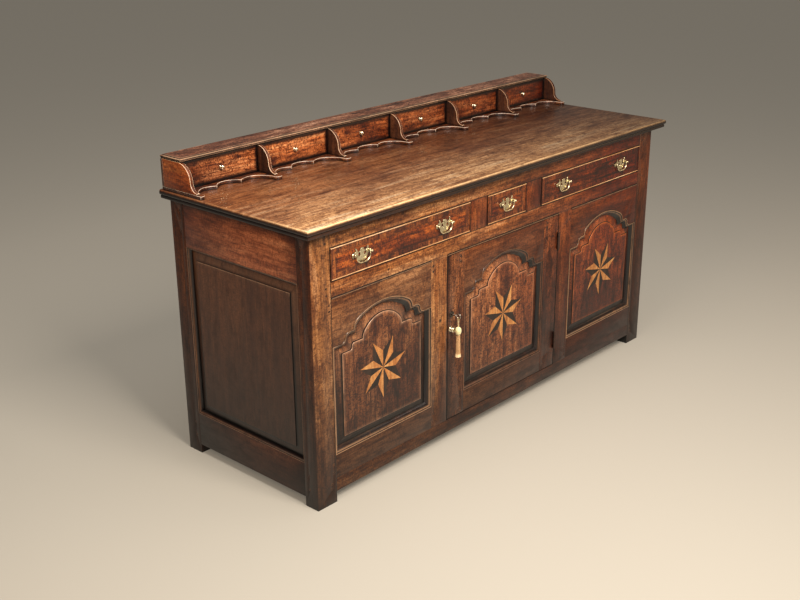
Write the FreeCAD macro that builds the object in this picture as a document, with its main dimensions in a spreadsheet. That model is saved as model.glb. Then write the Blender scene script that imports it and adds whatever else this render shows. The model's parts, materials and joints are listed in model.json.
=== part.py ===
import FreeCAD, Part
import math
import os
import re
from types import SimpleNamespace

import Sketcher
from FreeCAD import Placement, Rotation, Vector

# Kitchen dresser base in oak with a rack of spice drawers along the back of its top.
# The frame: +Z up, +X to the right seen from the front, the front faces -Y.
# The origin lies on the floor under the middle of the top's plan.

# Driving sizes, in millimetres
SIZES = {
    # Carcass and top
    "carcass_width": 1720,
    "carcass_depth": 592,
    "top_height": 860,
    "top_thickness": 27,
    "top_overhang": 37,
    "top_bead_thickness": 11,
    "top_bead_setback": 7,
    # Posts, frame and its joints
    "front_post_width": 76,
    "front_post_depth": 52,
    "back_post_width": 60,
    "back_post_depth": 60,
    "frame_thickness": 24,
    "tenon_thickness": 8,
    "tenon_shoulder": 6,
    "front_tenon": 45,
    "side_tenon": 28,
    "muntin_tenon": 20,
    "peg_diameter": 8,
    "peg_length": 22,
    "peg_setback": 18,
    # Front openings, from the floor upwards
    "bottom_rail_low": 35,
    "bottom_rail_height": 43,
    "drawer_rail_height": 52,
    "drawer_opening_height": 96,
    "top_rail_height": 53,
    # Front openings, from the middle outwards
    "door_opening_width": 582,
    "lower_muntin_width": 75,
    "short_drawer_opening": 202,
    "drawer_muntin_width": 83,
    # Arched panels
    "low_rail_height": 75,
    "arch_head_margin": 56,
    "shoulder_flat": 35,
    "ogee_width": 31,
    "ogee_rise": 29,
    "arch_half_span": 125,
    "arch_rise": 58,
    "arch_side_radius": 34,
    "tongue_reach": 8,
    "tongue_thickness": 6,
    "panel_setback": 14,
    "bevel_margin": 10,
    "field_inset": 42,
    "field_step": 2.2,
    "field_depth": 5,
    # Star inlay
    "star_height_share": 0.487,
    "star_radius": 99,
    "star_valley": 54,
    "inlay_thickness": 1.5,
    # Sides
    "side_low_rail_low": 30,
    "side_low_rail_height": 110,
    "side_top_rail_height": 146,
    "side_field_inset": 38,
    # Back and floor
    "back_board_thickness": 10,
    "back_rail_height": 54,
    "floor_thickness": 16,
    "floor_rebate": 7,
    # Drawer runners, guides and kickers
    "runner_width": 40,
    "runner_lap": 20,
    "runner_height": 22,
    "guide_height": 20,
    "kicker_height": 30,
    # Frieze drawers
    "drawer_gap": 1.5,
    "drawer_rest_gap": 0.3,
    "drawer_front_thickness": 20,
    "drawer_depth": 480,
    "drawer_side_thickness": 10,
    "drawer_side_height": 86,
    "drawer_back_drop": 8,
    "drawer_bottom_thickness": 8,
    "drawer_bottom_rise": 4,
    "bead_thickness": 3,
    "bead_proud": 2,
    "bead_depth": 12,
    # Drawer handles
    "handle_offset": 177,
    "handle_rise": 2,
    "handle_half_width": 39,
    "handle_half_height": 20.5,
    "plate_thickness": 2,
    "pierce_half_width": 4,
    "pierce_half_height": 5.8,
    "post_half_spacing": 33.5,
    "post_rise": 3,
    "post_stem_radius": 2,
    "post_head_radius": 4,
    "post_neck": 1.4,
    "post_head_length": 8.6,
    "nut_radius": 5,
    "nut_thickness": 3,
    "bail_radius": 1.9,
    "bail_fit": 0.05,
    "bail_hook": 2.8,
    "bail_shoulder_gap": 0.2,
    "bail_arm": 13.5,
    "bail_drop": 24.5,
    "bail_foot_half": 16.5,
    "bail_hook_bend": 2.4,
    "bail_bend": 17,
    # Door and its hinges
    "door_gap": 2,
    "door_stile_width": 80,
    "door_tenon": 50,
    "hinge_height": 60,
    "hinge_inset": 62,
    "hinge_leaf_width": 20,
    "hinge_leaf_thickness": 1.6,
    "hinge_knuckle_radius": 4,
    "hinge_axis_proud": 4.5,
    "hinge_pin_radius": 1.75,
    "hinge_pin_fit": 0.05,
    "hinge_knuckle_gap": 0.4,
    # Lock, key and knob
    "lock_edge": 20,
    "lock_height_share": 0.646,
    "lock_case_width": 58,
    "lock_case_height": 74,
    "lock_case_thickness": 12,
    "lock_fit": 0.3,
    "bolt_length": 30,
    "bolt_height": 14,
    "bolt_thickness": 5,
    "bolt_rise": 12,
    "bolt_throw": 9,
    "key_shank_radius": 2.4,
    "key_bow_centre": 27,
    "key_bow_radius": 7.5,
    "key_wire_radius": 1.5,
    "key_reach": 20,
    "key_bit_drop": 8,
    "key_bit_length": 4,
    "key_bit_thickness": 2,
    "keyhole_plate_radius": 10,
    "keyhole_plate_thickness": 1.2,
    "knob_edge": 15,
    "knob_drop": 48,
    "knob_stem_radius": 2.5,
    "knob_stem_length": 12,
    "knob_flange_radius": 8.5,
    "knob_flange_thickness": 2,
    "knob_neck_radius": 4,
    "knob_neck_length": 5,
    "knob_head_radius": 9,
    "knob_head_length": 8,
    # Tassel
    "cord_radius": 0.9,
    "cord_gap": 0.3,
    "cord_drop": 28,
    "cord_pinch": 1.3,
    "cord_lead": 5,
    "bead_half_width": 10,
    "bead_height": 28,
    "bead_shoulder": 9,
    "bead_end_radius": 4,
    "skirt_height": 72,
    "skirt_head_radius": 6,
    "skirt_body_radius": 8.5,
    "skirt_fringe_radius": 10,
    "skirt_fringe_height": 6,
    # Spice rack
    "rack_half_length": 890,
    "rack_inset": 8,
    "rack_base_thickness": 10,
    "rack_drawer_height": 84,
    "rack_top_thickness": 10,
    "rack_top_lip": 4,
    "rack_top_depth": 88,
    "rack_back_thickness": 9,
    "rack_divider_thickness": 11,
    "rack_waist_depth": 134,
    "rack_toe_depth": 160,
    "rack_toe_lip": 5,
    "rack_base_toe_depth": 178,
    "rack_base_side_depth": 106,
    "rack_base_cusp_depth": 119,
    "rack_base_mid_depth": 92,
    "rack_base_toe_half": 13,
    "rack_base_toe_round": 7,
    "spice_gap": 1,
    "spice_rest_gap": 0.3,
    "spice_setback": 3,
    "spice_front_thickness": 9,
    "spice_wall": 6,
    "spice_knob_stem_radius": 1.5,
    "spice_knob_flange_radius": 5.5,
    "spice_knob_flange_thickness": 1.2,
    "spice_knob_neck_radius": 2.8,
    "spice_knob_neck_length": 4.5,
    "spice_knob_head_radius": 7,
    "spice_knob_head_length": 6.5,
}

# How many of each
TOP_PLANKS = 3
BACK_BOARDS = 8
FLOOR_BOARDS = 7
SPICE_DRAWERS = 6
STAR_POINTS = 7

# Places worked out from the driving sizes
PLACES = {
    "half_width": "carcass_width / 2",
    "front_face": "(top_overhang - carcass_depth) / 2",
    "back_face": "front_face + carcass_depth",
    "frame_back": "front_face + frame_thickness",
    "top_under": "top_height - top_thickness",
    "top_half": "half_width + top_overhang",
    "top_front": "front_face - top_overhang",
    "tenon_setback": "(frame_thickness - tenon_thickness) / 2",
    "post_inner": "half_width - front_post_width",
    "post_back": "front_face + front_post_depth",
    "back_post_inner": "half_width - back_post_width",
    "back_post_front": "back_face - back_post_depth",
    "back_rail_front": "back_face - back_board_thickness - frame_thickness",
    "door_low": "bottom_rail_low + bottom_rail_height",
    "drawer_high": "top_under - top_rail_height",
    "drawer_low": "drawer_high - drawer_opening_height",
    "door_high": "drawer_low - drawer_rail_height",
    "door_opening_height": "door_high - door_low",
    "drawer_middle": "drawer_low + drawer_opening_height / 2",
    "door_half": "door_opening_width / 2",
    "bay_inner": "door_half + lower_muntin_width",
    "bay_width": "post_inner - bay_inner",
    "bay_middle": "bay_inner + bay_width / 2",
    "short_half": "short_drawer_opening / 2",
    "long_inner": "short_half + drawer_muntin_width",
    "long_width": "post_inner - long_inner",
    "panel_low": "door_low + low_rail_height",
    "arch_crown": "door_high - arch_head_margin",
    "arch_spring": "arch_crown - arch_rise",
    "shoulder_level": "arch_spring - ogee_rise",
    "star_level": "panel_low + star_height_share * (arch_crown - panel_low)",
    "head_tenon_low": "arch_crown + tongue_reach + tenon_shoulder",
    "head_tenon_height": "door_high - tenon_shoulder - head_tenon_low",
    "low_tenon_height": "low_rail_height - tongue_reach - 2 * tenon_shoulder",
    "side_inner": "half_width - frame_thickness",
    "side_panel_low": "side_low_rail_low + side_low_rail_height",
    "side_panel_high": "top_under - side_top_rail_height",
    "side_run": "back_post_front - post_back",
    "runner_run": "back_rail_front - frame_back",
    "plate_front": "front_face - plate_thickness",
    "bail_axis": "plate_front - post_neck - post_head_length / 2",
    "handle_level": "drawer_middle + handle_rise",
    "post_level": "handle_level + post_rise",
    "bail_reach": "post_head_radius + bail_hook_bend + bail_shoulder_gap",
    "leaf_half": "door_half - door_gap",
    "stile_inner": "leaf_half - door_stile_width",
    "leaf_low": "door_low + door_gap",
    "leaf_height": "door_opening_height - 2 * door_gap",
    "leaf_high": "leaf_low + leaf_height",
    "hinge_axis_across": "door_half - door_gap / 2",
    "hinge_axis_deep": "front_face - hinge_axis_proud",
    "lock_height": "door_low + lock_height_share * door_opening_height",
    "lock_axis": "lock_edge - leaf_half",
    "lock_front": "frame_back - lock_case_thickness",
    "bolt_front": "lock_front + (lock_case_thickness - bolt_thickness) / 2",
    "bolt_low": "lock_height + bolt_rise",
    "bow_deep": "front_face - key_bow_centre",
    "bow_wire_low": "lock_height - key_bow_radius",
    "bead_top": "bow_wire_low - cord_drop",
    "bead_upper": "bead_height - bead_shoulder",
    "skirt_top": "bead_top - bead_height",
    "knob_axis": "knob_edge - leaf_half",
    "knob_height": "lock_height - knob_drop",
    "rack_back": "back_face - rack_inset",
    "rack_back_front": "rack_back - rack_back_thickness",
    "rack_floor": "top_height + rack_base_thickness",
    "rack_ceiling": "rack_floor + rack_drawer_height",
    "rack_front": "rack_back - rack_top_depth",
    "rack_pitch": f"(2 * rack_half_length - rack_divider_thickness) / {SPICE_DRAWERS}",
    "spice_front": "rack_front + spice_setback",
    "spice_width": "rack_pitch - rack_divider_thickness - 2 * spice_gap",
    "spice_height": "rack_drawer_height - spice_rest_gap - spice_gap",
    "spice_depth": "rack_back_front - spice_gap - spice_front",
    "spice_low": "rack_floor + spice_rest_gap",
}

# Heights of the two pegs in a joint, as shares of the tenon's width
PEG_SHARES = (0.25, 0.75)

# How far the arched outline's shoulder and ogee ends follow when the outline is drawn in
SHOULDER_DROP_SHARE = 0.8
OGEE_OUTER_SHARE = 0.9
OGEE_INNER_SHARE = 0.6

# Right half of a pierced backplate from its foot up to its crown, in shares of its half width and half height
PLATE_SHARES = (
    ((0, -1), (0.434, -0.664), (0.591, -0.162)),
    ((0.591, -0.162), (0.682, 0.00), (0.818, -0.085)),
    ((0.818, -0.085), (0.886, -0.213), (0.955, -0.191)),
    ((0.955, -0.191), (1.00, 0.021), (0.977, 0.255)),
    ((0.977, 0.255), (0.875, 0.404), (0.75, 0.447)),
    ((0.75, 0.447), (0.648, 0.596), (0.659, 0.83)),
    ((0.659, 0.83), (0.636, 0.979), (0.58, 0.979)),
    ((0.58, 0.979), (0.511, 0.787), (0.455, 0.553)),
    ((0.455, 0.553), (0.341, 0.447), (0.216, 0.511)),
    ((0.216, 0.511), (0.193, 0.745), (0, 0.915)),
)
PIERCE_ACROSS_SHARE = 0.295
PIERCE_UP_SHARE = 0.064

# Half a bay of the rack's scalloped base, as shares of the bay's pitch
SCALLOP_SIDE_SHARE = 0.20
SCALLOP_CUSP_SHARE = 0.345
SCALLOP_SWEEP_SHARE = 0.24
SCALLOP_DIP_SHARE = 0.4

doc = FreeCAD.newDocument("KitchenDresser")
sheet = doc.addObject("Spreadsheet::Sheet", "Sizes")
for row, (alias, content) in enumerate(list(SIZES.items()) + list(PLACES.items()), start=1):
    sheet.set(f"A{row}", alias)
    sheet.set(f"B{row}", f"={content}" if alias in PLACES else str(content))
    sheet.setAlias(f"B{row}", alias)
doc.recompute()

# The same values as plain numbers, for outlines that are drawn point by point
dim = SimpleNamespace(**{alias: float(getattr(sheet, alias)) for alias in [*SIZES, *PLACES]})

SHEET_WORD = re.compile(r"[a-z]\w*")
SAME_POINT = 1e-6
nodes = []


def on_sheet(text):
    """An expression written in size names, with each name pointed at the sheet."""
    return SHEET_WORD.sub(lambda word: "Sizes." + word.group(), text)


def set_down(piece, place):
    """Bind a piece's position to three expressions."""
    for axis, text in zip("xyz", place):
        piece.setExpression(f"Placement.Base.{axis}", on_sheet(text))
    return piece


def block(name, low, size):
    """A squared timber or plate from its low corner and its three sizes."""
    piece = doc.addObject("Part::Box", name)
    for side, text in zip(("Length", "Width", "Height"), size):
        piece.setExpression(side, on_sheet(text))
    return set_down(piece, low)


def mirrored(low, size):
    """The low corner and sizes of a block's twin on the left side."""
    return (f"-({low[0]}) - ({size[0]})", *low[1:]), size


def pair(name, low, size):
    """A block on the right side and its twin on the left."""
    return [block(f"{name}_right", low, size), block(f"{name}_left", *mirrored(low, size))]


AXIS_TURNS = {
    "x": Rotation(Vector(0, 1, 0), 90),
    "y": Rotation(Vector(1, 0, 0), -90),
    "z": Rotation(),
}


def rod(name, start, axis, radius, length):
    """A round piece that runs from its start along one axis."""
    piece = doc.addObject("Part::Cylinder", name)
    piece.setExpression("Radius", on_sheet(radius))
    piece.setExpression("Height", on_sheet(length))
    piece.Placement = Placement(Vector(), AXIS_TURNS[axis])
    return set_down(piece, start)


def solid(name, shape):
    """A piece drawn point by point."""
    piece = doc.addObject("Part::Feature", name)
    piece.Shape = shape
    return piece


def group(name, pieces):
    """Several separate solids kept together."""
    piece = doc.addObject("Part::Compound", name)
    piece.Links = pieces
    return piece


def joined(name, pieces):
    """Pieces made as one."""
    piece = doc.addObject("Part::MultiFuse", name)
    piece.Shapes = pieces
    return piece


def carved(name, base, *tool_sets):
    """A piece with each set of tools cut away in turn. The tools of one set stay clear of each other."""
    for turn, tools in enumerate(tool_sets, start=1):
        if not tools:
            continue
        cut = doc.addObject("Part::Cut", f"{name}_cut_{turn}")
        cut.Base = base
        cut.Tool = tools[0] if len(tools) == 1 else group(f"{name}_tools_{turn}", tools)
        base = cut
    return base


def node(label, *pieces):
    """A named sub-part of the dresser, which gets a file of its own."""
    piece = pieces[0] if len(pieces) == 1 else group(f"{label}_node", list(pieces))
    piece.Label = label
    nodes.append(piece)
    return piece


def turned(name, profile, place, turn=None):
    """A turned piece: a profile of (radius, height) expressions from foot to crown, spun about its axis."""
    body = doc.addObject("PartDesign::Body", name)
    plane = next(part for part in body.Origin.OriginFeatures if part.Role == "XZ_Plane")
    sketch = body.newObject("Sketcher::SketchObject", f"{name}_profile")
    sketch.AttachmentSupport = [(plane, "")]
    sketch.MapMode = "FlatFace"
    rough = [Vector(*(number_of(text) for text in point), 0) for point in profile]
    for index, start in enumerate(rough):
        sketch.addGeometry(Part.LineSegment(start, rough[(index + 1) % len(rough)]))
    for index, (radius, height) in enumerate(profile):
        sketch.addConstraint(Sketcher.Constraint("Coincident", index, 1, (index - 1) % len(profile), 2))
        for kind, text, axis in (("DistanceX", radius, -2), ("DistanceY", height, -1)):
            if text == "0":
                sketch.addConstraint(Sketcher.Constraint("PointOnObject", index, 1, axis))
                continue
            mark = sketch.addConstraint(Sketcher.Constraint(kind, -1, 1, index, 1, number_of(text)))
            sketch.setExpression(f"Constraints[{mark}]", on_sheet(text))
    spin = body.newObject("PartDesign::Revolution", f"{name}_spin")
    spin.Profile = sketch
    spin.ReferenceAxis = (sketch, ["V_Axis"])
    spin.Angle = 360
    sketch.Visibility = False
    if turn:
        body.Placement = Placement(Vector(), turn)
    return set_down(body, place)


def number_of(text):
    """The value of a sum of size names, such as one_size + other_size."""
    return sum(getattr(dim, word) for word in SHEET_WORD.findall(text))


def outline(segments):
    """A closed outline from segments of two points, a line, or three, an arc through the middle one."""
    edges = []
    for points in segments:
        curve = Part.LineSegment(*points) if len(points) == 2 else Part.Arc(*points)
        edges.append(curve.toShape())
    return Part.Wire(edges)


def bow(start, end, centre):
    """An arc's three points, from its two ends and its centre."""
    radius = (start - centre).Length
    middle = (start - centre) + (end - centre)
    return start, centre + middle.normalize() * radius, end


def with_mirror(right_half):
    """Segments of a right half, drawn from foot to crown, followed by their mirror image in X."""
    def flip(point):
        return Vector(-point.x, point.y, point.z)
    left_half = [tuple(flip(point) for point in reversed(points)) for points in reversed(right_half)]
    return list(right_half) + left_half


def rounded_route(points, radii):
    """Straight runs through points, with a tangent arc of its own radius at each inner point."""
    edges = []
    start = points[0]
    for before, corner, after, radius in zip(points, points[1:], points[2:], radii):
        inward = (before - corner).normalize()
        onward = (after - corner).normalize()
        half_angle = inward.getAngle(onward) / 2
        reach = radius / math.tan(half_angle)
        centre = corner + (inward + onward).normalize() * (radius / math.sin(half_angle))
        arc_start = corner + inward * reach
        arc_end = corner + onward * reach
        if not start.isEqual(arc_start, SAME_POINT):
            edges.append(Part.LineSegment(start, arc_start).toShape())
        edges.append(Part.Arc(*bow(arc_start, arc_end, centre)).toShape())
        start = arc_end
    edges.append(Part.LineSegment(start, points[-1]).toShape())
    return Part.Wire(edges)


def tube(route, radius):
    """A round bar along a route."""
    first = route.Edges[0]
    start = first.valueAt(first.FirstParameter)
    section = Part.Wire([Part.Circle(start, first.tangentAt(first.FirstParameter), radius).toShape()])
    return route.makePipeShell([section], True, False)


# Frame timbers. A member's tenons are the ends of one bar that runs through it,
# and the same bar cuts the mortises of the members that receive it.

def tenon_bar(name, low, size, run, reach, band=None):
    """The bar of a frame member that runs along axis 0, 1 or 2; band is its own low edge and width."""
    wide = next(axis for axis in (2, 0) if axis != run)
    thick = next(axis for axis in (1, 0) if axis not in (run, wide))
    bar_low = list(low)
    bar_size = list(size)
    bar_low[run] = f"{low[run]} - {reach}"
    bar_size[run] = f"{size[run]} + 2 * {reach}"
    bar_low[thick] = f"{low[thick]} + tenon_setback"
    bar_size[thick] = "tenon_thickness"
    bar_low[wide] = f"{low[wide]} + tenon_shoulder"
    bar_size[wide] = f"{size[wide]} - 2 * tenon_shoulder"
    if band:
        bar_low[wide], bar_size[wide] = band
    return block(f"{name}_tenons", bar_low, bar_size)


def pegs_in(name, across, band_low, band_height):
    """Two pegs driven into a joint from the front."""
    levels = [f"{band_low} + {share} * ({band_height})" for share in PEG_SHARES]
    return [
        rod(f"{name}_peg_{index}", (across, "front_face", level), "y", "peg_diameter / 2", "peg_length")
        for index, level in enumerate(levels)
    ]


def arched_outline(middle, inset, depth):
    """The arched opening of a bay or door, drawn in by inset, at a depth behind the front face."""
    def point(across, up):
        return Vector(across, dim.front_face + depth, up)
    half = dim.bay_width / 2 - inset
    low = dim.panel_low + inset
    shoulder = dim.shoulder_level - SHOULDER_DROP_SHARE * inset
    spring = dim.arch_spring - inset
    ogee_outer = dim.bay_width / 2 - dim.shoulder_flat - OGEE_OUTER_SHARE * inset
    ogee_inner = dim.bay_width / 2 - dim.shoulder_flat - dim.ogee_width - OGEE_INNER_SHARE * inset
    span = dim.arch_half_span - inset
    rise, side = dim.arch_rise, dim.arch_side_radius
    crown = (span ** 2 + rise ** 2 - 2 * span * side) / (2 * (rise - side))
    ogee_middle = point((ogee_outer + ogee_inner) / 2, (shoulder + spring) / 2)
    half_run, half_rise = (ogee_outer - ogee_inner) / 2, (spring - shoulder) / 2
    ogee_radius = (half_run ** 2 + half_rise ** 2) / (2 * half_rise)
    side_centre = point(span - side, spring)
    crown_centre = point(0, spring + rise - crown)
    haunch = crown_centre + (side_centre - crown_centre).normalize() * crown
    right_half = [
        (point(0, low), point(half, low)),
        (point(half, low), point(half, shoulder)),
        (point(half, shoulder), point(ogee_outer, shoulder)),
        bow(point(ogee_outer, shoulder), ogee_middle, point(ogee_outer, shoulder + ogee_radius)),
        bow(ogee_middle, point(ogee_inner, spring), point(ogee_inner, spring - ogee_radius)),
        (point(ogee_inner, spring), point(span, spring)),
        bow(point(span, spring), haunch, side_centre),
        bow(haunch, point(0, spring + rise), crown_centre),
    ]
    wire = outline(with_mirror(right_half))
    wire.translate(Vector(middle, 0, 0))
    return wire


def side_outline(side, inset, depth):
    """The panel opening of the right side, 1, or the left side, -1."""
    across = side * (dim.half_width - depth)
    front, back = dim.post_back + inset, dim.back_post_front - inset
    low, high = dim.side_panel_low + inset, dim.side_panel_high - inset
    places = ((front, low), (back, low), (back, high), (front, high))
    corners = [Vector(across, deep, up) for deep, up in places]
    return Part.makePolygon(corners + corners[:1])


def raised_panel(draw, field_inset, inward):
    """A tongue and the whole raised panel. draw gives the opening's outline, inward points inside."""
    tongue = Part.Face(draw(-dim.tongue_reach, dim.panel_setback)).extrude(inward * dim.tongue_thickness)
    bevel_top = dim.field_depth + dim.field_step
    foot = draw(dim.bevel_margin, dim.panel_setback)
    rim = draw(field_inset, bevel_top)
    bevel = Part.makeLoft([foot, rim], True, True)
    field = Part.Face(rim).extrude(inward * -dim.field_step)
    return tongue, tongue.fuse([bevel, field]).removeSplitter()


def star(middle):
    """The halves of an inlaid star's points, light and dark in turn, and the recess they lie in."""
    face = dim.front_face + dim.field_depth
    centre = Vector(middle, face, dim.star_level)
    rim = []
    for step in range(2 * STAR_POINTS):
        angle = -math.pi / 2 + math.pi * step / STAR_POINTS
        reach = dim.star_valley if step % 2 else dim.star_radius
        rim.append(centre + Vector(math.cos(angle), 0, math.sin(angle)) * reach)
    sunk = Vector(0, dim.inlay_thickness, 0)
    halves = []
    for start, end in zip(rim, rim[1:] + rim[:1]):
        halves.append(Part.Face(Part.makePolygon([centre, start, end, centre])).extrude(sunk))
    recess = Part.Face(Part.makePolygon(rim + rim[:1])).extrude(sunk)
    return halves, recess


# Panels of the two bays, the door and the two sides
def panel_set(name, draw, field_inset, inward, star_middle=None):
    """A panel, the tool for its grooves and, where it has one, its star."""
    tongue, panel = raised_panel(draw, field_inset, inward)
    halves = []
    if star_middle is not None:
        shapes, recess = star(star_middle)
        panel = panel.cut(recess)
        halves = [solid(f"{name}_star_{index}", shape) for index, shape in enumerate(shapes)]
    return solid(f"{name}_tongue", tongue), solid(f"{name}_panel", panel), halves


into_carcass = Vector(0, 1, 0)
bays = {}
for side, middle in (("right", dim.bay_middle), ("left", -dim.bay_middle)):
    bays[side] = panel_set(
        f"bay_{side}", lambda inset, depth, at=middle: arched_outline(at, inset, depth),
        dim.field_inset, into_carcass, middle)
door_tongue, door_panel, door_star = panel_set(
    "door", lambda inset, depth: arched_outline(0, inset, depth), dim.field_inset, into_carcass, 0)
sides = {}
for side, sign in (("right", 1), ("left", -1)):
    sides[side] = panel_set(
        f"side_{side}", lambda inset, depth, at=sign: side_outline(at, inset, depth),
        dim.side_field_inset, Vector(-sign, 0, 0))

node("front_panels", bays["right"][1], bays["left"][1])
node("front_stars", *bays["right"][2], *bays["left"][2])
node("side_panels", sides["right"][1], sides["left"][1])
node("door_panel", door_panel)
node("door_star", *door_star)

# Front frame: rails across, muntins between them, arched heads and low rails in the bays
rail_span = ("-post_inner", "2 * post_inner")
FRONT_RAILS = {
    "top_rail": ("drawer_high", "top_rail_height"),
    "drawer_rail": ("door_high", "drawer_rail_height"),
    "bottom_rail": ("bottom_rail_low", "bottom_rail_height"),
}
front_bars = {}
front_bodies = {}
for name, (low, tall) in FRONT_RAILS.items():
    corner = (rail_span[0], "front_face", low)
    size = (rail_span[1], "frame_thickness", tall)
    front_bars[name] = tenon_bar(name, corner, size, 0, "front_tenon")
    front_bodies[name] = joined(f"{name}_whole", [block(f"{name}_body", corner, size), front_bars[name]])

MUNTINS = {
    "drawer_muntin": (("short_half", "front_face", "drawer_low"),
                      ("drawer_muntin_width", "frame_thickness", "drawer_opening_height")),
    "lower_muntin": (("door_half", "front_face", "door_low"),
                     ("lower_muntin_width", "frame_thickness", "door_opening_height")),
}
BAY_RAILS = {
    "head_rail": (("bay_inner", "front_face", "shoulder_level"),
                  ("bay_width", "frame_thickness", "door_high - shoulder_level"),
                  ("head_tenon_low", "head_tenon_height")),
    "low_rail": (("bay_inner", "front_face", "door_low"),
                 ("bay_width", "frame_thickness", "low_rail_height"),
                 ("door_low + tenon_shoulder", "low_tenon_height")),
}
muntin_bars = {}
muntin_blanks = {}
bay_bars = {}
bay_blanks = {}
joint_pegs = {"right": [], "left": []}
bay_pegs = {"right": [], "left": []}
for side in ("right", "left"):
    for name, (low, size) in MUNTINS.items():
        corner, size = (low, size) if side == "right" else mirrored(low, size)
        label = f"{name}_{side}"
        muntin_bars[label] = tenon_bar(label, corner, size, 2, "muntin_tenon")
        body = block(f"{label}_body", corner, size)
        muntin_blanks[label] = joined(f"{label}_whole", [body, muntin_bars[label]])
    for name, (low, size, band) in BAY_RAILS.items():
        corner, size = (low, size) if side == "right" else mirrored(low, size)
        label = f"{name}_{side}"
        bay_bars[label] = tenon_bar(label, corner, size, 0, "muntin_tenon", band)
        bay_blanks[label] = joined(f"{label}_whole", [block(f"{label}_body", corner, size), bay_bars[label]])
        sign = "" if side == "right" else "-"
        places = {"post": "post_inner + peg_setback / 2", "muntin": "bay_inner - peg_setback / 2"}
        for place, across in places.items():
            bay_pegs[side] += pegs_in(f"{label}_{place}", f"{sign}({across})", *band)
    for name, (low, tall) in FRONT_RAILS.items():
        sign = "" if side == "right" else "-"
        band = (f"{low} + tenon_shoulder", f"{tall} - 2 * tenon_shoulder")
        joint_pegs[side] += pegs_in(f"{name}_{side}", f"{sign}(post_inner + peg_setback)", *band)

# The opening above each head rail's shoulders is the arch itself, cut right through the rail
bay_arches = {}
for side, middle in (("right", dim.bay_middle), ("left", -dim.bay_middle)):
    arch = Part.Face(arched_outline(middle, 0, 0)).extrude(into_carcass * dim.frame_thickness)
    bay_arches[side] = solid(f"bay_{side}_arch", arch)

all_front_pegs = joint_pegs["right"] + joint_pegs["left"]
floor_low = "door_low - floor_thickness"
front_rebate = block("front_rebate", ("-post_inner", "frame_back - floor_rebate", floor_low),
                     ("2 * post_inner", "floor_rebate", "floor_thickness"))
muntin_cuts = {
    "top_rail": ["drawer_muntin"],
    "drawer_rail": ["drawer_muntin", "lower_muntin"],
    "bottom_rail": ["lower_muntin"],
}
front_rails = []
for name, body in front_bodies.items():
    mortises = [muntin_bars[f"{muntin}_{side}"] for muntin in muntin_cuts[name] for side in ("right", "left")]
    pegs = [peg for peg in all_front_pegs if peg.Name.startswith(name)]
    rebate = [front_rebate] if name == "bottom_rail" else []
    front_rails.append(carved(name, body, mortises, pegs, rebate))
node("front_rails", *front_rails)

bolt_mortise = block(
    "bolt_mortise",
    ("-door_half - bolt_throw - lock_fit", "bolt_front - lock_fit", "bolt_low - lock_fit"),
    ("bolt_throw + lock_fit", "bolt_thickness + 2 * lock_fit", "bolt_height + 2 * lock_fit"))
hinge_levels = {"low": "leaf_low + hinge_inset", "high": "leaf_high - hinge_inset - hinge_height"}
frame_leaf_plates = {
    end: block(f"frame_leaf_{end}", ("door_half", "front_face", level),
               ("hinge_leaf_thickness", "hinge_leaf_width", "hinge_height"))
    for end, level in hinge_levels.items()
}
muntins = []
for side in ("right", "left"):
    muntins.append(muntin_blanks[f"drawer_muntin_{side}"])
    bars = [bay_bars[f"head_rail_{side}"], bay_bars[f"low_rail_{side}"]]
    pegs = [peg for peg in bay_pegs[side] if "_muntin_" in peg.Name]
    recess = list(frame_leaf_plates.values()) if side == "right" else [bolt_mortise]
    muntins.append(carved(f"lower_muntin_{side}", muntin_blanks[f"lower_muntin_{side}"],
                          bars, [bays[side][0]], pegs, recess))
node("muntins", *muntins)

bay_rails = []
for side in ("right", "left"):
    pegs = bay_pegs[side]
    for name in BAY_RAILS:
        label = f"{name}_{side}"
        own = [peg for peg in pegs if peg.Name.startswith(label)]
        bay_rails.append(carved(label, bay_blanks[label], [bay_arches[side]], [bays[side][0]], own))
node("bay_rails", *bay_rails)

# Sides and back: rails tenoned into the posts, boards between the back posts
SIDE_RAILS = {
    "side_top_rail": ("side_panel_high", "side_top_rail_height",
                      ("side_panel_high + tongue_reach + tenon_shoulder",
                       "side_top_rail_height - tongue_reach - 2 * tenon_shoulder")),
    "side_low_rail": ("side_low_rail_low", "side_low_rail_height",
                      ("side_low_rail_low + tenon_shoulder",
                       "side_low_rail_height - tongue_reach - 2 * tenon_shoulder")),
}
side_bars = {"right": [], "left": []}
side_pegs = {"right": [], "left": []}
side_rails = []
for side in ("right", "left"):
    for name, (low, tall, band) in SIDE_RAILS.items():
        label = f"{name}_{side}"
        corner, size = ("side_inner", "post_back", low), ("frame_thickness", "side_run", tall)
        if side == "left":
            corner, size = mirrored(corner, size)
        bar = tenon_bar(label, corner, size, 1, "side_tenon", band)
        start = "half_width - peg_length" if side == "right" else "-half_width"
        own = []
        places = {"front": "post_back - peg_setback", "back": "back_post_front + peg_setback"}
        for deep_name, deep in places.items():
            for index, share in enumerate(PEG_SHARES):
                level = f"{band[0]} + {share} * ({band[1]})"
                own.append(rod(f"{label}_{deep_name}_peg_{index}", (start, deep, level), "x",
                               "peg_diameter / 2", "peg_length"))
        blank = joined(f"{label}_whole", [block(f"{label}_body", corner, size), bar])
        side_rails.append(carved(label, blank, [sides[side][0]], own))
        side_bars[side].append(bar)
        side_pegs[side] += own
node("side_rails", *side_rails)

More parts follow.
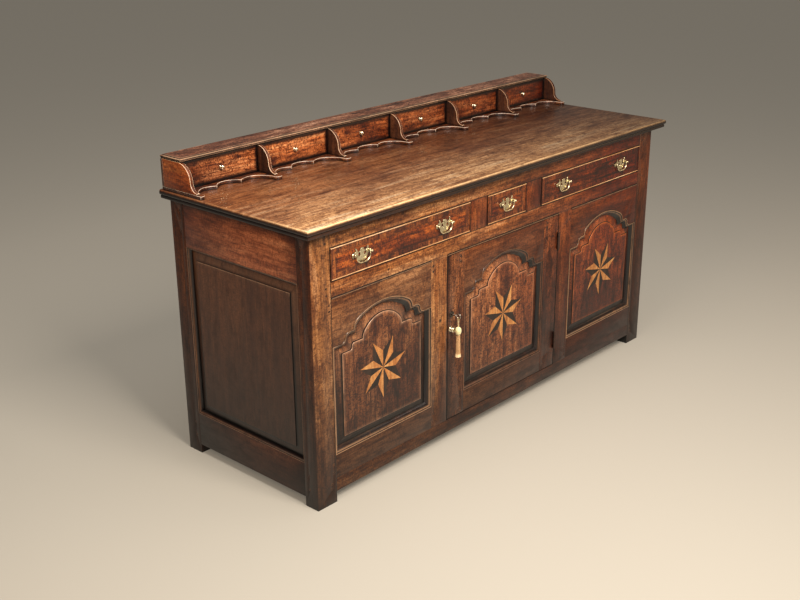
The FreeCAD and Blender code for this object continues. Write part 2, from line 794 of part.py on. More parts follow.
BACK_RAILS = {
    "back_top_rail": ("top_under - back_rail_height", "back_rail_height"),
    "back_middle_rail": ("drawer_low - back_rail_height", "back_rail_height"),
    "back_bottom_rail": ("bottom_rail_low", "bottom_rail_height"),
}
back_rebate = block("back_rebate", ("-back_post_inner", "back_rail_front", floor_low),
                    ("2 * back_post_inner", "floor_rebate", "floor_thickness"))
back_bars = []
back_rails = []
for name, (low, tall) in BACK_RAILS.items():
    corner = ("-back_post_inner", "back_rail_front", low)
    size = ("2 * back_post_inner", "frame_thickness", tall)
    bar = tenon_bar(name, corner, size, 0, "side_tenon")
    blank = joined(f"{name}_whole", [block(f"{name}_body", corner, size), bar])
    rebate = [back_rebate] if name == "back_bottom_rail" else []
    back_rails.append(carved(name, blank, rebate))
    back_bars.append(bar)
node("back_rails", *back_rails)

board_width = f"2 * back_post_inner / {BACK_BOARDS}"
node("back_boards", *[
    block(f"back_board_{index}",
          (f"{index} * ({board_width}) - back_post_inner", "back_face - back_board_thickness",
           "bottom_rail_low"),
          (board_width, "back_board_thickness", "top_under - bottom_rail_low"))
    for index in range(BACK_BOARDS)
])

# Floor boards run from front to back between the posts and lie in the rebates of the two bottom rails
floor_width = f"2 * post_inner / {FLOOR_BOARDS}"
node("floor_boards", *[
    block(f"floor_board_{index}",
          (f"{index} * ({floor_width}) - post_inner", "frame_back - floor_rebate", floor_low),
          (floor_width, "back_rail_front - frame_back + 2 * floor_rebate", "floor_thickness"))
    for index in range(FLOOR_BOARDS)
])

front_posts = []
back_posts = []
for side in ("right", "left"):
    corner = ("post_inner", "front_face", "0")
    size = ("front_post_width", "front_post_depth", "top_under")
    back_corner = ("back_post_inner", "back_post_front", "0")
    back_size = ("back_post_width", "back_post_depth", "top_under")
    if side == "left":
        corner, size = mirrored(corner, size)
        back_corner, back_size = mirrored(back_corner, back_size)
    bars = list(front_bars.values()) + [bar for name, bar in bay_bars.items() if name.endswith(side)]
    pegs = joint_pegs[side] + [peg for peg in bay_pegs[side] if "_post_" in peg.Name]
    front_posts.append(carved(
        f"front_post_{side}", block(f"front_post_{side}_body", corner, size), bars, side_bars[side],
        [bays[side][0]], [sides[side][0]], pegs,
        [peg for peg in side_pegs[side] if "_front_peg_" in peg.Name]))
    back_posts.append(carved(
        f"back_post_{side}", block(f"back_post_{side}_body", back_corner, back_size), back_bars,
        side_bars[side], [sides[side][0]], [peg for peg in side_pegs[side] if "_back_peg_" in peg.Name]))
node("front_posts", *front_posts)
node("back_posts", *back_posts)
node("joint_pegs", *all_front_pegs, *bay_pegs["right"], *bay_pegs["left"],
     *side_pegs["right"], *side_pegs["left"])

# Drawer runners, the guides on them and the kickers above the drawers
runner_deep = ("frame_back", "runner_run")


def running_strips(name, low, tall, inner, wide):
    """A strip on each side, from the front frame to the back rails."""
    return pair(name, (inner, runner_deep[0], low), (wide, runner_deep[1], tall))


middle_lap = ("short_half - runner_lap", "drawer_muntin_width + 2 * runner_lap")
outer_strip = ("post_inner - runner_width", "runner_width")
node("drawer_runners",
     *running_strips("middle_runner", "drawer_low - runner_height", "runner_height", *middle_lap),
     *running_strips("outer_runner", "drawer_low - runner_height", "runner_height", *outer_strip),
     *running_strips("middle_guide", "drawer_low", "guide_height", "short_half", "drawer_muntin_width"),
     *pair("outer_guide", ("post_inner", "post_back", "drawer_low"),
           ("side_inner - post_inner", "side_run", "guide_height")),
     *running_strips("middle_kicker", "drawer_high", "kicker_height", *middle_lap),
     *running_strips("outer_kicker", "drawer_high", "kicker_height", *outer_strip))

# Top: glued planks whose outer edge is worked to an upper arris over a set-back bead
plank_deep = f"(carcass_depth + top_overhang) / {TOP_PLANKS}"
planks = []
for index in range(TOP_PLANKS):
    start = f"top_front + {index} * ({plank_deep})"
    setback = "top_bead_setback" if index == 0 else "0"
    upper = block(f"plank_{index}_upper", ("-top_half", start, "top_under + top_bead_thickness"),
                  ("2 * top_half", plank_deep, "top_thickness - top_bead_thickness"))
    lower = block(f"plank_{index}_bead", ("top_bead_setback - top_half", f"{start} + {setback}", "top_under"),
                  ("2 * (top_half - top_bead_setback)", f"{plank_deep} - {setback}", "top_bead_thickness"))
    planks.append(joined(f"plank_{index}", [upper, lower]))
node("top_boards", *planks)

# Frieze drawers: a beaded front, two sides, a back and a bottom; handles on the front
DRAWERS = {
    "left": ("-long_inner - long_width / 2", "long_width", (-1, 1)),
    "middle": ("0", "short_drawer_opening", (0,)),
    "right": ("long_inner + long_width / 2", "long_width", (-1, 1)),
}


def backplate():
    """A backplate with two oval piercings and holes for its two posts."""
    def point(across, up):
        up_from_floor = dim.handle_level + up * dim.handle_half_height
        return Vector(across * dim.handle_half_width, dim.front_face, up_from_floor)
    right_half = [tuple(point(*share) for share in shares) for shares in PLATE_SHARES]
    outward = Vector(0, -dim.plate_thickness, 0)
    plate = Part.Face(outline(with_mirror(right_half))).extrude(outward)
    holes = []
    for side in (-1, 1):
        eye = point(side * PIERCE_ACROSS_SHARE, PIERCE_UP_SHARE)
        crown, flank = Vector(0, 0, dim.pierce_half_height), Vector(dim.pierce_half_width, 0, 0)
        oval = Part.Ellipse(eye + crown, eye + flank, eye)
        holes.append(Part.Face(Part.Wire([oval.toShape()])).extrude(outward))
        post = Vector(side * dim.post_half_spacing, dim.front_face, dim.post_level)
        holes.append(Part.makeCylinder(dim.post_stem_radius, dim.plate_thickness, post, outward))
    return plate.cut(holes)


def handle_post(name, across):
    """A post through backplate and drawer front: nut, stem, neck and a head bored across for the bail."""
    inner = "front_face + drawer_front_thickness"
    stem = rod(f"{name}_stem", (across, "plate_front - post_neck", "post_level"), "y",
               "post_stem_radius", "plate_thickness + post_neck + drawer_front_thickness + nut_thickness")
    nut = rod(f"{name}_nut", (across, inner, "post_level"), "y", "nut_radius", "nut_thickness")
    head = rod(f"{name}_head", (across, "plate_front - post_neck - post_head_length", "post_level"), "y",
               "post_head_radius", "post_head_length")
    bore = rod(f"{name}_bore", (f"{across} - post_head_radius", "bail_axis", "post_level"), "x",
               "bail_radius + bail_fit", "2 * post_head_radius")
    return carved(name, joined(f"{name}_whole", [stem, nut, head]), [bore]), stem


def bail():
    """A round-bottomed bail whose ends turn outwards into the posts' heads."""
    def point(across, up):
        return Vector(across, dim.bail_axis, dim.post_level + up)
    arm = dim.post_half_spacing - dim.bail_reach
    right_half = [
        point(dim.post_half_spacing + dim.bail_hook, 0),
        point(arm, 0),
        point(arm, -dim.bail_arm),
        point(dim.bail_foot_half, -dim.bail_drop),
    ]
    left_half = [Vector(-corner.x, corner.y, corner.z) for corner in reversed(right_half)]
    bends = [dim.bail_hook_bend, dim.bail_bend, dim.bail_bend]
    return tube(rounded_route(right_half + left_half, bends + bends[::-1]), dim.bail_radius)


for name, (middle, wide, handle_signs) in DRAWERS.items():
    left = f"{middle} - {wide} / 2 + drawer_gap"
    across = f"{wide} - 2 * drawer_gap"
    low, tall = "drawer_low + drawer_gap", "drawer_opening_height - 2 * drawer_gap"
    core = block(f"{name}_front_core", (f"{left} + bead_thickness", "front_face", f"{low} + bead_thickness"),
                 (f"{across} - 2 * bead_thickness", "drawer_front_thickness", f"{tall} - 2 * bead_thickness"))
    bead_front, bead_deep = "front_face - bead_proud", "bead_depth + bead_proud"
    beads = [
        block(f"{name}_bead_foot", (left, bead_front, low), (across, bead_deep, "bead_thickness")),
        block(f"{name}_bead_head", (left, bead_front, f"{low} + {tall} - bead_thickness"),
              (across, bead_deep, "bead_thickness")),
        block(f"{name}_bead_left", (left, bead_front, f"{low} + bead_thickness"),
              ("bead_thickness", bead_deep, f"{tall} - 2 * bead_thickness")),
        block(f"{name}_bead_right",
              (f"{left} + {across} - bead_thickness", bead_front, f"{low} + bead_thickness"),
              ("bead_thickness", bead_deep, f"{tall} - 2 * bead_thickness")),
    ]
    plates, posts, stems = [], [], []
    for index, sign in enumerate(handle_signs, start=1):
        handle_middle = f"{middle} + {sign} * handle_offset"
        handle_place = (handle_middle, "0", "0")
        plates.append(set_down(solid(f"{name}_plate_{index}", backplate()), handle_place))
        for side in (-1, 1):
            post, stem = handle_post(f"{name}_post_{index}_{'right' if side > 0 else 'left'}",
                                     f"{handle_middle} + {side} * post_half_spacing")
            posts.append(post)
            stems.append(stem)
        node(f"bail_{name}_{index}", set_down(solid(f"{name}_bail_{index}", bail()), handle_place))
    node(f"handle_plates_{name}", *plates, *posts)
    node(f"drawer_front_{name}", carved(f"{name}_front", core, stems), *beads)

    box_front, box_low = "front_face + drawer_front_thickness", "drawer_low + drawer_rest_gap"
    box_deep = "drawer_depth - drawer_front_thickness"
    inner_left = f"{left} + drawer_side_thickness"
    inner_width = f"{across} - 2 * drawer_side_thickness"
    bottom_low = f"{box_low} + drawer_bottom_rise"
    back_low = f"{bottom_low} + drawer_bottom_thickness"
    node(f"drawer_box_{name}",
         block(f"{name}_side_left", (left, box_front, box_low),
               ("drawer_side_thickness", box_deep, "drawer_side_height")),
         block(f"{name}_side_right", (f"{left} + {across} - drawer_side_thickness", box_front, box_low),
               ("drawer_side_thickness", box_deep, "drawer_side_height")),
         block(f"{name}_bottom", (inner_left, box_front, bottom_low),
               (inner_width, box_deep, "drawer_bottom_thickness")),
         block(f"{name}_back", (inner_left, "front_face + drawer_depth - drawer_side_thickness", back_low),
               (inner_width, "drawer_side_thickness",
                "drawer_side_height - drawer_bottom_rise - drawer_bottom_thickness - drawer_back_drop")))

# Door: pegged frame round the arched panel
DOOR_RAILS = {
    "door_head": ("shoulder_level", "leaf_high - shoulder_level",
                  ("head_tenon_low", "head_tenon_height - door_gap")),
    "door_foot": ("leaf_low", "panel_low - leaf_low",
                  ("leaf_low + tenon_shoulder", "panel_low - leaf_low - tongue_reach - 2 * tenon_shoulder")),
}
door_bars = []
door_pegs = {"right": [], "left": []}
door_rails = []
door_arch = solid("door_arch", Part.Face(arched_outline(0, 0, 0)).extrude(into_carcass * dim.frame_thickness))
for name, (low, tall, band) in DOOR_RAILS.items():
    corner = ("-stile_inner", "front_face", low)
    size = ("2 * stile_inner", "frame_thickness", tall)
    bar = tenon_bar(name, corner, size, 0, "door_tenon", band)
    own = []
    for side, sign in (("right", ""), ("left", "-")):
        pegs = pegs_in(f"{name}_{side}", f"{sign}(stile_inner + peg_setback)", *band)
        door_pegs[side] += pegs
        own += pegs
    blank = joined(f"{name}_whole", [block(f"{name}_body", corner, size), bar])
    door_rails.append(carved(name, blank, [door_arch], [door_tongue], own))
    door_bars.append(bar)
node("door_rails", *door_rails)
node("door_pegs", *door_pegs["right"], *door_pegs["left"])

# Butt hinges: leaves let into the edges of door and muntin, knuckles in front of the gap
knuckle_height = "(hinge_height - 2 * hinge_knuckle_gap) / 3"


def knuckle(name, level, across, bore_radius):
    """One knuckle with the web that ties it to its leaf."""
    barrel = rod(f"{name}_barrel", ("hinge_axis_across", "hinge_axis_deep", level), "z",
                 "hinge_knuckle_radius", knuckle_height)
    web = block(f"{name}_web", (across, "hinge_axis_deep", level),
                ("hinge_leaf_thickness", "hinge_axis_proud", knuckle_height))
    bore = rod(f"{name}_bore", ("hinge_axis_across", "hinge_axis_deep", level), "z",
               bore_radius, knuckle_height)
    return barrel, web, bore


frame_leaves, door_leaves, pins, door_leaf_plates = [], [], [], []
for end, level in hinge_levels.items():
    knuckle_step = f"{knuckle_height} + hinge_knuckle_gap"
    parts = [knuckle(f"frame_knuckle_{end}_{index}", f"{level} + {index} * ({knuckle_step})",
                     "door_half", "hinge_pin_radius") for index in (0, 2)]
    ties = [piece for barrel, web, bore in parts for piece in (barrel, web)]
    whole = joined(f"frame_hinge_{end}_whole", [frame_leaf_plates[end]] + ties)
    frame_leaves.append(carved(f"frame_hinge_{end}", whole, [bore for barrel, web, bore in parts]))
    pins.append(rod(f"hinge_pin_{end}", ("hinge_axis_across", "hinge_axis_deep", level), "z",
                    "hinge_pin_radius", "hinge_height"))
    plate = block(f"door_leaf_{end}", ("leaf_half - hinge_leaf_thickness", "front_face", level),
                  ("hinge_leaf_thickness", "hinge_leaf_width", "hinge_height"))
    barrel, web, bore = knuckle(f"door_knuckle_{end}", f"{level} + {knuckle_step}",
                                "leaf_half - hinge_leaf_thickness", "hinge_pin_radius + hinge_pin_fit")
    whole = joined(f"door_hinge_{end}_whole", [plate, barrel, web])
    door_leaves.append(carved(f"door_hinge_{end}", whole, [bore]))
    door_leaf_plates.append(plate)
node("hinge_frame_leaves", *frame_leaves, *pins)
node("hinge_door_leaves", *door_leaves)

# Lock let into the back of the left stile, with its bolt, key and keyhole plate
lock_low = "lock_height - lock_case_height / 2"
lock_blank = block("lock_blank", ("-leaf_half", "lock_front", lock_low),
                   ("lock_case_width", "lock_case_thickness", "lock_case_height"))
bolt_slot = block("bolt_slot", ("-leaf_half", "bolt_front - lock_fit", "bolt_low - lock_fit"),
                  ("bolt_length + 2 * lock_fit", "bolt_thickness + 2 * lock_fit",
                   "bolt_height + 2 * lock_fit"))
key_well = rod("key_well", ("lock_axis", "lock_front", "lock_height"), "y",
               "key_bit_drop + 2 * lock_fit", "lock_case_thickness - 2 * lock_fit")
node("lock_case", carved("lock", lock_blank, [bolt_slot, key_well]))
node("lock_bolt", block("lock_bolt_bar", ("lock_fit - leaf_half", "bolt_front", "bolt_low"),
                        ("bolt_length", "bolt_thickness", "bolt_height")))
key_back = "front_face - key_bow_centre + key_bow_radius"
shank = rod("key_shank", ("lock_axis", key_back, "lock_height"), "y", "key_shank_radius",
            "key_bow_centre - key_bow_radius + key_reach")
bit = block("key_bit", ("lock_axis - key_bit_thickness / 2", "front_face + key_reach - key_bit_length",
                        "lock_height - key_bit_drop"),
            ("key_bit_thickness", "key_bit_length", "key_bit_drop"))
ring = doc.addObject("Part::Torus", "key_bow")
ring.setExpression("Radius1", on_sheet("key_bow_radius"))
ring.setExpression("Radius2", on_sheet("key_wire_radius"))
ring.Placement = Placement(Vector(), AXIS_TURNS["x"])
set_down(ring, ("lock_axis", "bow_deep", "lock_height"))
node("key", joined("key_whole", [shank, bit, ring]))
keyhole_plate = rod("keyhole_disc", ("lock_axis", "front_face - keyhole_plate_thickness", "lock_height"), "y",
                    "keyhole_plate_radius", "keyhole_plate_thickness")
keyhole = rod("keyhole", ("lock_axis", "front_face - keyhole_plate_thickness", "lock_height"), "y",
              "key_shank_radius + lock_fit", "keyhole_plate_thickness + frame_thickness")
node("keyhole_plate", carved("keyhole_plate", keyhole_plate, [keyhole]))

# Knob below the key, its stem driven into the stile
FORWARD = Rotation(Vector(1, 0, 0), 90)


def knob(name, prefix, stem_length, place):
    """A turned knob: stem, flange, waist, rounded head."""
    head = f"{stem_length} + {prefix}_flange_thickness + {prefix}_neck_length"
    profile = [
        ("0", "0"),
        (f"{prefix}_stem_radius", "0"),
        (f"{prefix}_stem_radius", stem_length),
        (f"{prefix}_flange_radius", stem_length),
        (f"{prefix}_flange_radius", f"{stem_length} + {prefix}_flange_thickness"),
        (f"{prefix}_neck_radius", f"{stem_length} + {prefix}_flange_thickness"),
        (f"{prefix}_neck_radius", head),
        (f"{prefix}_head_radius", head),
        (f"{prefix}_flange_radius", f"{head} + {prefix}_head_length"),
        ("0", f"{head} + {prefix}_head_length"),
    ]
    return turned(name, profile, place, FORWARD)


node("door_knob", knob("door_knob_turning", "knob", "knob_stem_length",
                       ("knob_axis", "front_face + knob_stem_length", "knob_height")))
knob_hole = rod("knob_hole", ("knob_axis", "front_face", "knob_height"), "y",
                "knob_stem_radius", "knob_stem_length")

door_stiles = []
for side in ("right", "left"):
    corner = ("stile_inner", "front_face", "leaf_low")
    size = ("door_stile_width", "frame_thickness", "leaf_height")
    if side == "left":
        corner, size = mirrored(corner, size)
    fittings = door_leaf_plates if side == "right" else [lock_blank, knob_hole]
    through = [] if side == "right" else [keyhole]
    door_stiles.append(carved(f"door_stile_{side}", block(f"door_stile_{side}_body", corner, size),
                              door_bars, [door_tongue], door_pegs[side], fittings, through))
node("door_stiles", *door_stiles)

# Tassel: a cord looped through the key's bow, a bead and a skirt of threads
def tassel_route():
    """The cord up from the bead, over the wire of the bow and down to the bead again."""
    wrap = dim.key_wire_radius + dim.cord_gap + dim.cord_radius
    over = dim.bow_wire_low + wrap
    turn = dim.bow_wire_low - wrap
    lead = dim.bead_top + dim.cord_lead
    right_half = [(dim.cord_pinch, dim.bead_top), (dim.cord_pinch, lead), (wrap, turn), (wrap, over)]
    points = right_half + [(-across, up) for across, up in reversed(right_half)]
    easy = dim.cord_drop
    radii = [easy, easy, wrap, wrap, easy, easy]
    route = rounded_route([Vector(dim.lock_axis + across, dim.bow_deep, up) for across, up in points], radii)
    return route, radii


route, radii = tassel_route()
cord = tube(route, dim.cord_radius)
expected = math.pi * dim.cord_radius ** 2 * route.Length
print("tassel cord: length", round(route.Length, 2), "radii", [round(radius, 2) for radius in radii],
      "volume share", round(cord.Volume / expected, 4))
node("tassel_cord", solid("cord_tube", cord))
node("tassel_bead", turned("tassel_bead_turning", [
    ("0", "0"),
    ("bead_end_radius", "0"),
    ("bead_half_width", "bead_shoulder"),
    ("bead_half_width", "bead_upper"),
    ("bead_end_radius", "bead_height"),
    ("0", "bead_height"),
], ("lock_axis", "bow_deep", "skirt_top")))
node("tassel_skirt", turned("tassel_skirt_turning", [
    ("0", "0"),
    ("skirt_fringe_radius", "0"),
    ("skirt_body_radius", "skirt_fringe_height"),
    ("skirt_head_radius", "skirt_height"),
    ("0", "skirt_height"),
], ("lock_axis", "bow_deep", "skirt_top - skirt_height")))

# Spice rack: scalloped base, ogee dividers, back, top and drawers
def rack_base():
    """The base board, whose front edge runs out in a toe at each divider and in two cusps between."""
    back = dim.rack_back
    first = -dim.rack_pitch * SPICE_DRAWERS / 2
    side_reach = dim.rack_pitch * SCALLOP_SIDE_SHARE
    cusp_reach = dim.rack_pitch * SCALLOP_CUSP_SHARE
    toe, side = dim.rack_base_toe_depth, dim.rack_base_side_depth
    cusp, mid = dim.rack_base_cusp_depth, dim.rack_base_mid_depth
    lip = toe - dim.rack_base_toe_round
    segments = []

    def point(across, depth):
        return Vector(across, back - depth, dim.top_height)

    def half_bay(start, way):
        """From a toe's middle to its neighbouring cusp, on the right, 1, or on the left, -1."""
        def at(reach, depth):
            return point(start + way * reach, depth)
        sweep = at(dim.rack_pitch * SCALLOP_SWEEP_SHARE / 2, side + (lip - side) * SCALLOP_DIP_SHARE / 2)
        dip = at((side_reach + cusp_reach) / 2, side + (cusp - side) * SCALLOP_DIP_SHARE / 2)
        return [
            (at(0, toe), at(dim.rack_base_toe_half * 2 / 3, (toe + lip) / 2 + (toe - lip) / 4),
             at(dim.rack_base_toe_half, lip)),
            (at(dim.rack_base_toe_half, lip), sweep, at(side_reach, side)),
            (at(side_reach, side), dip, at(cusp_reach, cusp)),
        ]

    for bay in range(SPICE_DRAWERS):
        left, right = first + bay * dim.rack_pitch, first + (bay + 1) * dim.rack_pitch
        left_half, right_half = half_bay(left, 1), half_bay(right, -1)
        crown = (left_half[-1][-1], point((left + right) / 2, mid), right_half[-1][-1])
        segments += left_half + [crown] + [tuple(reversed(points)) for points in reversed(right_half)]
    places = ((1, toe), (1, 0), (-1, 0), (-1, toe))
    ends = [point(side * dim.rack_half_length, depth) for side, depth in places]
    corners = [segments[-1][-1], *ends, segments[0][0]]
    segments += list(zip(corners, corners[1:]))
    return Part.Face(outline(segments)).extrude(Vector(0, 0, dim.rack_base_thickness))


def rack_divider(index):
    """One ogee divider, or end, of the rack."""
    left = index * dim.rack_pitch - dim.rack_half_length
    def point(depth, up):
        return Vector(left, dim.rack_back - depth, dim.rack_floor + up)
    toe, waist, top = dim.rack_toe_depth, dim.rack_waist_depth, dim.rack_top_depth
    tall, lip = dim.rack_drawer_height, dim.rack_toe_lip
    cove = toe - waist
    run, rise = waist - top, tall - lip - cove
    swell = (run ** 2 + rise ** 2) / (2 * run)
    back = dim.rack_back_thickness
    profile = outline([
        (point(back, 0), point(toe, 0)),
        (point(toe, 0), point(toe, lip)),
        bow(point(toe, lip), point(waist, lip + cove), point(toe, lip + cove)),
        bow(point(waist, lip + cove), point(top, tall), point(waist - swell, lip + cove)),
        (point(top, tall), point(back, tall)),
        (point(back, tall), point(back, 0)),
    ])
    return Part.Face(profile).extrude(Vector(dim.rack_divider_thickness, 0, 0))


node("spice_base", solid("rack_base", rack_base()))
node("spice_dividers", *[
    solid(f"rack_divider_{index}", rack_divider(index)) for index in range(SPICE_DRAWERS + 1)
])
rack_length = ("-rack_half_length", "2 * rack_half_length")
node("spice_back", block("rack_back_board", (rack_length[0], "rack_back_front", "rack_floor"),
                         (rack_length[1], "rack_back_thickness", "rack_drawer_height")))
node("spice_top", joined("rack_top", [
    block("rack_top_board", (rack_length[0], "rack_front", "rack_ceiling"),
          (rack_length[1], "rack_top_depth", "rack_top_thickness")),
    block("rack_top_nosing", (rack_length[0], "rack_front - rack_top_lip", "rack_ceiling + rack_top_lip"),
          (rack_length[1], "rack_top_lip", "rack_top_thickness - 2 * rack_top_lip")),
]))

for index in range(SPICE_DRAWERS):
    number = index + 1
    left = f"{index} * rack_pitch - rack_half_length + rack_divider_thickness + spice_gap"
    box_front, box_deep = "spice_front + spice_front_thickness", "spice_depth - spice_front_thickness"
    inner_left, inner_width = f"{left} + spice_wall", "spice_width - 2 * spice_wall"
    middle = f"{left} + spice_width / 2"
    level = "spice_low + spice_height / 2"
    knob_back = "spice_front + spice_front_thickness"
    hole = rod(f"spice_hole_{number}", (middle, "spice_front", level), "y",
               "spice_knob_stem_radius", "spice_front_thickness")
    front = block(f"spice_front_{number}_board", (left, "spice_front", "spice_low"),
                  ("spice_width", "spice_front_thickness", "spice_height"))
    node(f"spice_drawer_{number}",
         carved(f"spice_front_{number}", front, [hole]),
         block(f"spice_side_left_{number}", (left, box_front, "spice_low"),
               ("spice_wall", box_deep, "spice_height")),
         block(f"spice_side_right_{number}", (f"{left} + spice_width - spice_wall", box_front, "spice_low"),
               ("spice_wall", box_deep, "spice_height")),
         block(f"spice_bottom_{number}", (inner_left, box_front, "spice_low"),
               (inner_width, box_deep, "spice_wall")),
         block(f"spice_back_{number}",
               (inner_left, "spice_front + spice_depth - spice_wall", "spice_low + spice_wall"),
               (inner_width, "spice_wall", "spice_height - spice_wall")))
    node(f"spice_knob_{number}", knob(f"spice_knob_{number}_turning", "spice_knob", "spice_front_thickness",
                                      (middle, knob_back, level)))

# Checks, then one file for each sub-part
doc.recompute()
faults = [f"{thing.Name}: {thing.State}" for thing in doc.Objects
          if "Invalid" in thing.State or "Error" in thing.State]
for piece in nodes:
    if piece.Shape.isNull() or not piece.Shape.isValid() or not piece.Shape.Solids:
        faults.append(f"{piece.Label}: bad shape")
if faults:
    raise RuntimeError("; ".join(faults))
os.makedirs("parts", exist_ok=True)
for piece in nodes:
    piece.Shape.exportStep(f"parts/{piece.Label}.step")
print(len(nodes), "sub-parts,", sum(len(piece.Shape.Solids) for piece in nodes), "solids")
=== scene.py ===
import json
import random
from math import atan2, cos, hypot, pi, radians, sin, tan, tau

import bmesh
import bpy
from mathutils import Matrix, Vector


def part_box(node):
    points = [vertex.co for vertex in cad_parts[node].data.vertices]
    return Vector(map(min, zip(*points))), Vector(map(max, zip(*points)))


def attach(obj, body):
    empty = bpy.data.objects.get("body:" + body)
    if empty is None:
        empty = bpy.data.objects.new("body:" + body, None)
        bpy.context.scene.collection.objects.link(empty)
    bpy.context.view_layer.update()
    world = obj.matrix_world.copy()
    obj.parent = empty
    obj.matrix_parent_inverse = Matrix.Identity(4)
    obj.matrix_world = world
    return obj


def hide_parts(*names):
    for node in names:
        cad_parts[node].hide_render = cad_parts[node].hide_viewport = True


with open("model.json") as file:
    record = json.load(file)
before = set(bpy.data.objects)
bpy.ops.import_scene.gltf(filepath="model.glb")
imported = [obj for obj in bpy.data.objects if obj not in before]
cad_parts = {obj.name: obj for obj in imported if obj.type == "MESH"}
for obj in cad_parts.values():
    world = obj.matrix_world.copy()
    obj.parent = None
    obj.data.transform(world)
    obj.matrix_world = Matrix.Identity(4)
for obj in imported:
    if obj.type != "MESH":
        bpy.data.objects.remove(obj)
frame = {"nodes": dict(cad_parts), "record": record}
scene = bpy.context.scene
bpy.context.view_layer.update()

MM = 0.001
bodies = frame["record"]["behaviour"]["bodies"]
body_of = {node: body for body, members in bodies.items() for node in members}

# Planes and places of the dresser, read from the frame
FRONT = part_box("front_posts")[0].y
HALF_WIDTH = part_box("front_posts")[1].x
RACK_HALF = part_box("spice_dividers")[1].x

# Edges of the front's openings, across from the middle and up from the floor
POST_INNER, BAY_INNER, DOOR_SIDE = 0.784, 0.366, 0.291
MIDDLE_DRAWER_SIDE, OUTER_DRAWER_SIDE = 0.101, 0.184
DRAWER_FOOT, DRAWER_HEAD = 0.684, 0.780

# Each drawer with its number of handles, how many there are of what repeats, and the signs of the two sides
HANDLES = {"left": 2, "middle": 1, "right": 2}
SPICE_DRAWERS = 6
BACK_BOARDS, FLOOR_BOARDS, TOP_BOARDS = 8, 7, 3
BOTH = (-1, 1)


# Materials

def linear(code):
    """A colour written as sRGB hex, as linear RGBA."""
    levels = [int(code[at:at + 2], 16) / 255 for at in (1, 3, 5)]
    return (*[level / 12.92 if level <= 0.04045 else ((level + 0.055) / 1.055) ** 2.4 for level in levels], 1)


def feed(tree, made, inputs):
    """Gives a node's inputs, in order or by name, their values or links."""
    for key, value in inputs.items() if isinstance(inputs, dict) else enumerate(inputs):
        if isinstance(value, bpy.types.NodeSocket):
            tree.links.new(value, made.inputs[key])
        else:
            made.inputs[key].default_value = value


def add(tree, kind, inputs=(), give=0, stops=(), **settings):
    """Adds a node with its settings, inputs and ramp stops, and gives one of its outputs, or all for None.
    A kind with no Node in its name is a shader node."""
    made = tree.nodes.new(kind if "Node" in kind else f"ShaderNode{kind}")
    for name, value in settings.items():
        setattr(made, name, value)
    feed(tree, made, inputs)
    if stops:
        ramp = made.color_ramp
        while len(ramp.elements) < len(stops):
            ramp.elements.new(1)
        for element, (place, code) in zip(ramp.elements, stops):
            element.position = place
            element.color = linear(code)
    return made.outputs if give is None else made.outputs[give]


def new_material(name):
    """An empty material with its tree and its shader."""
    made = bpy.data.materials.new(name)
    made.use_nodes = True
    return made, made.node_tree, made.node_tree.nodes["Principled BSDF"]


CLEAR = "#ffffff"


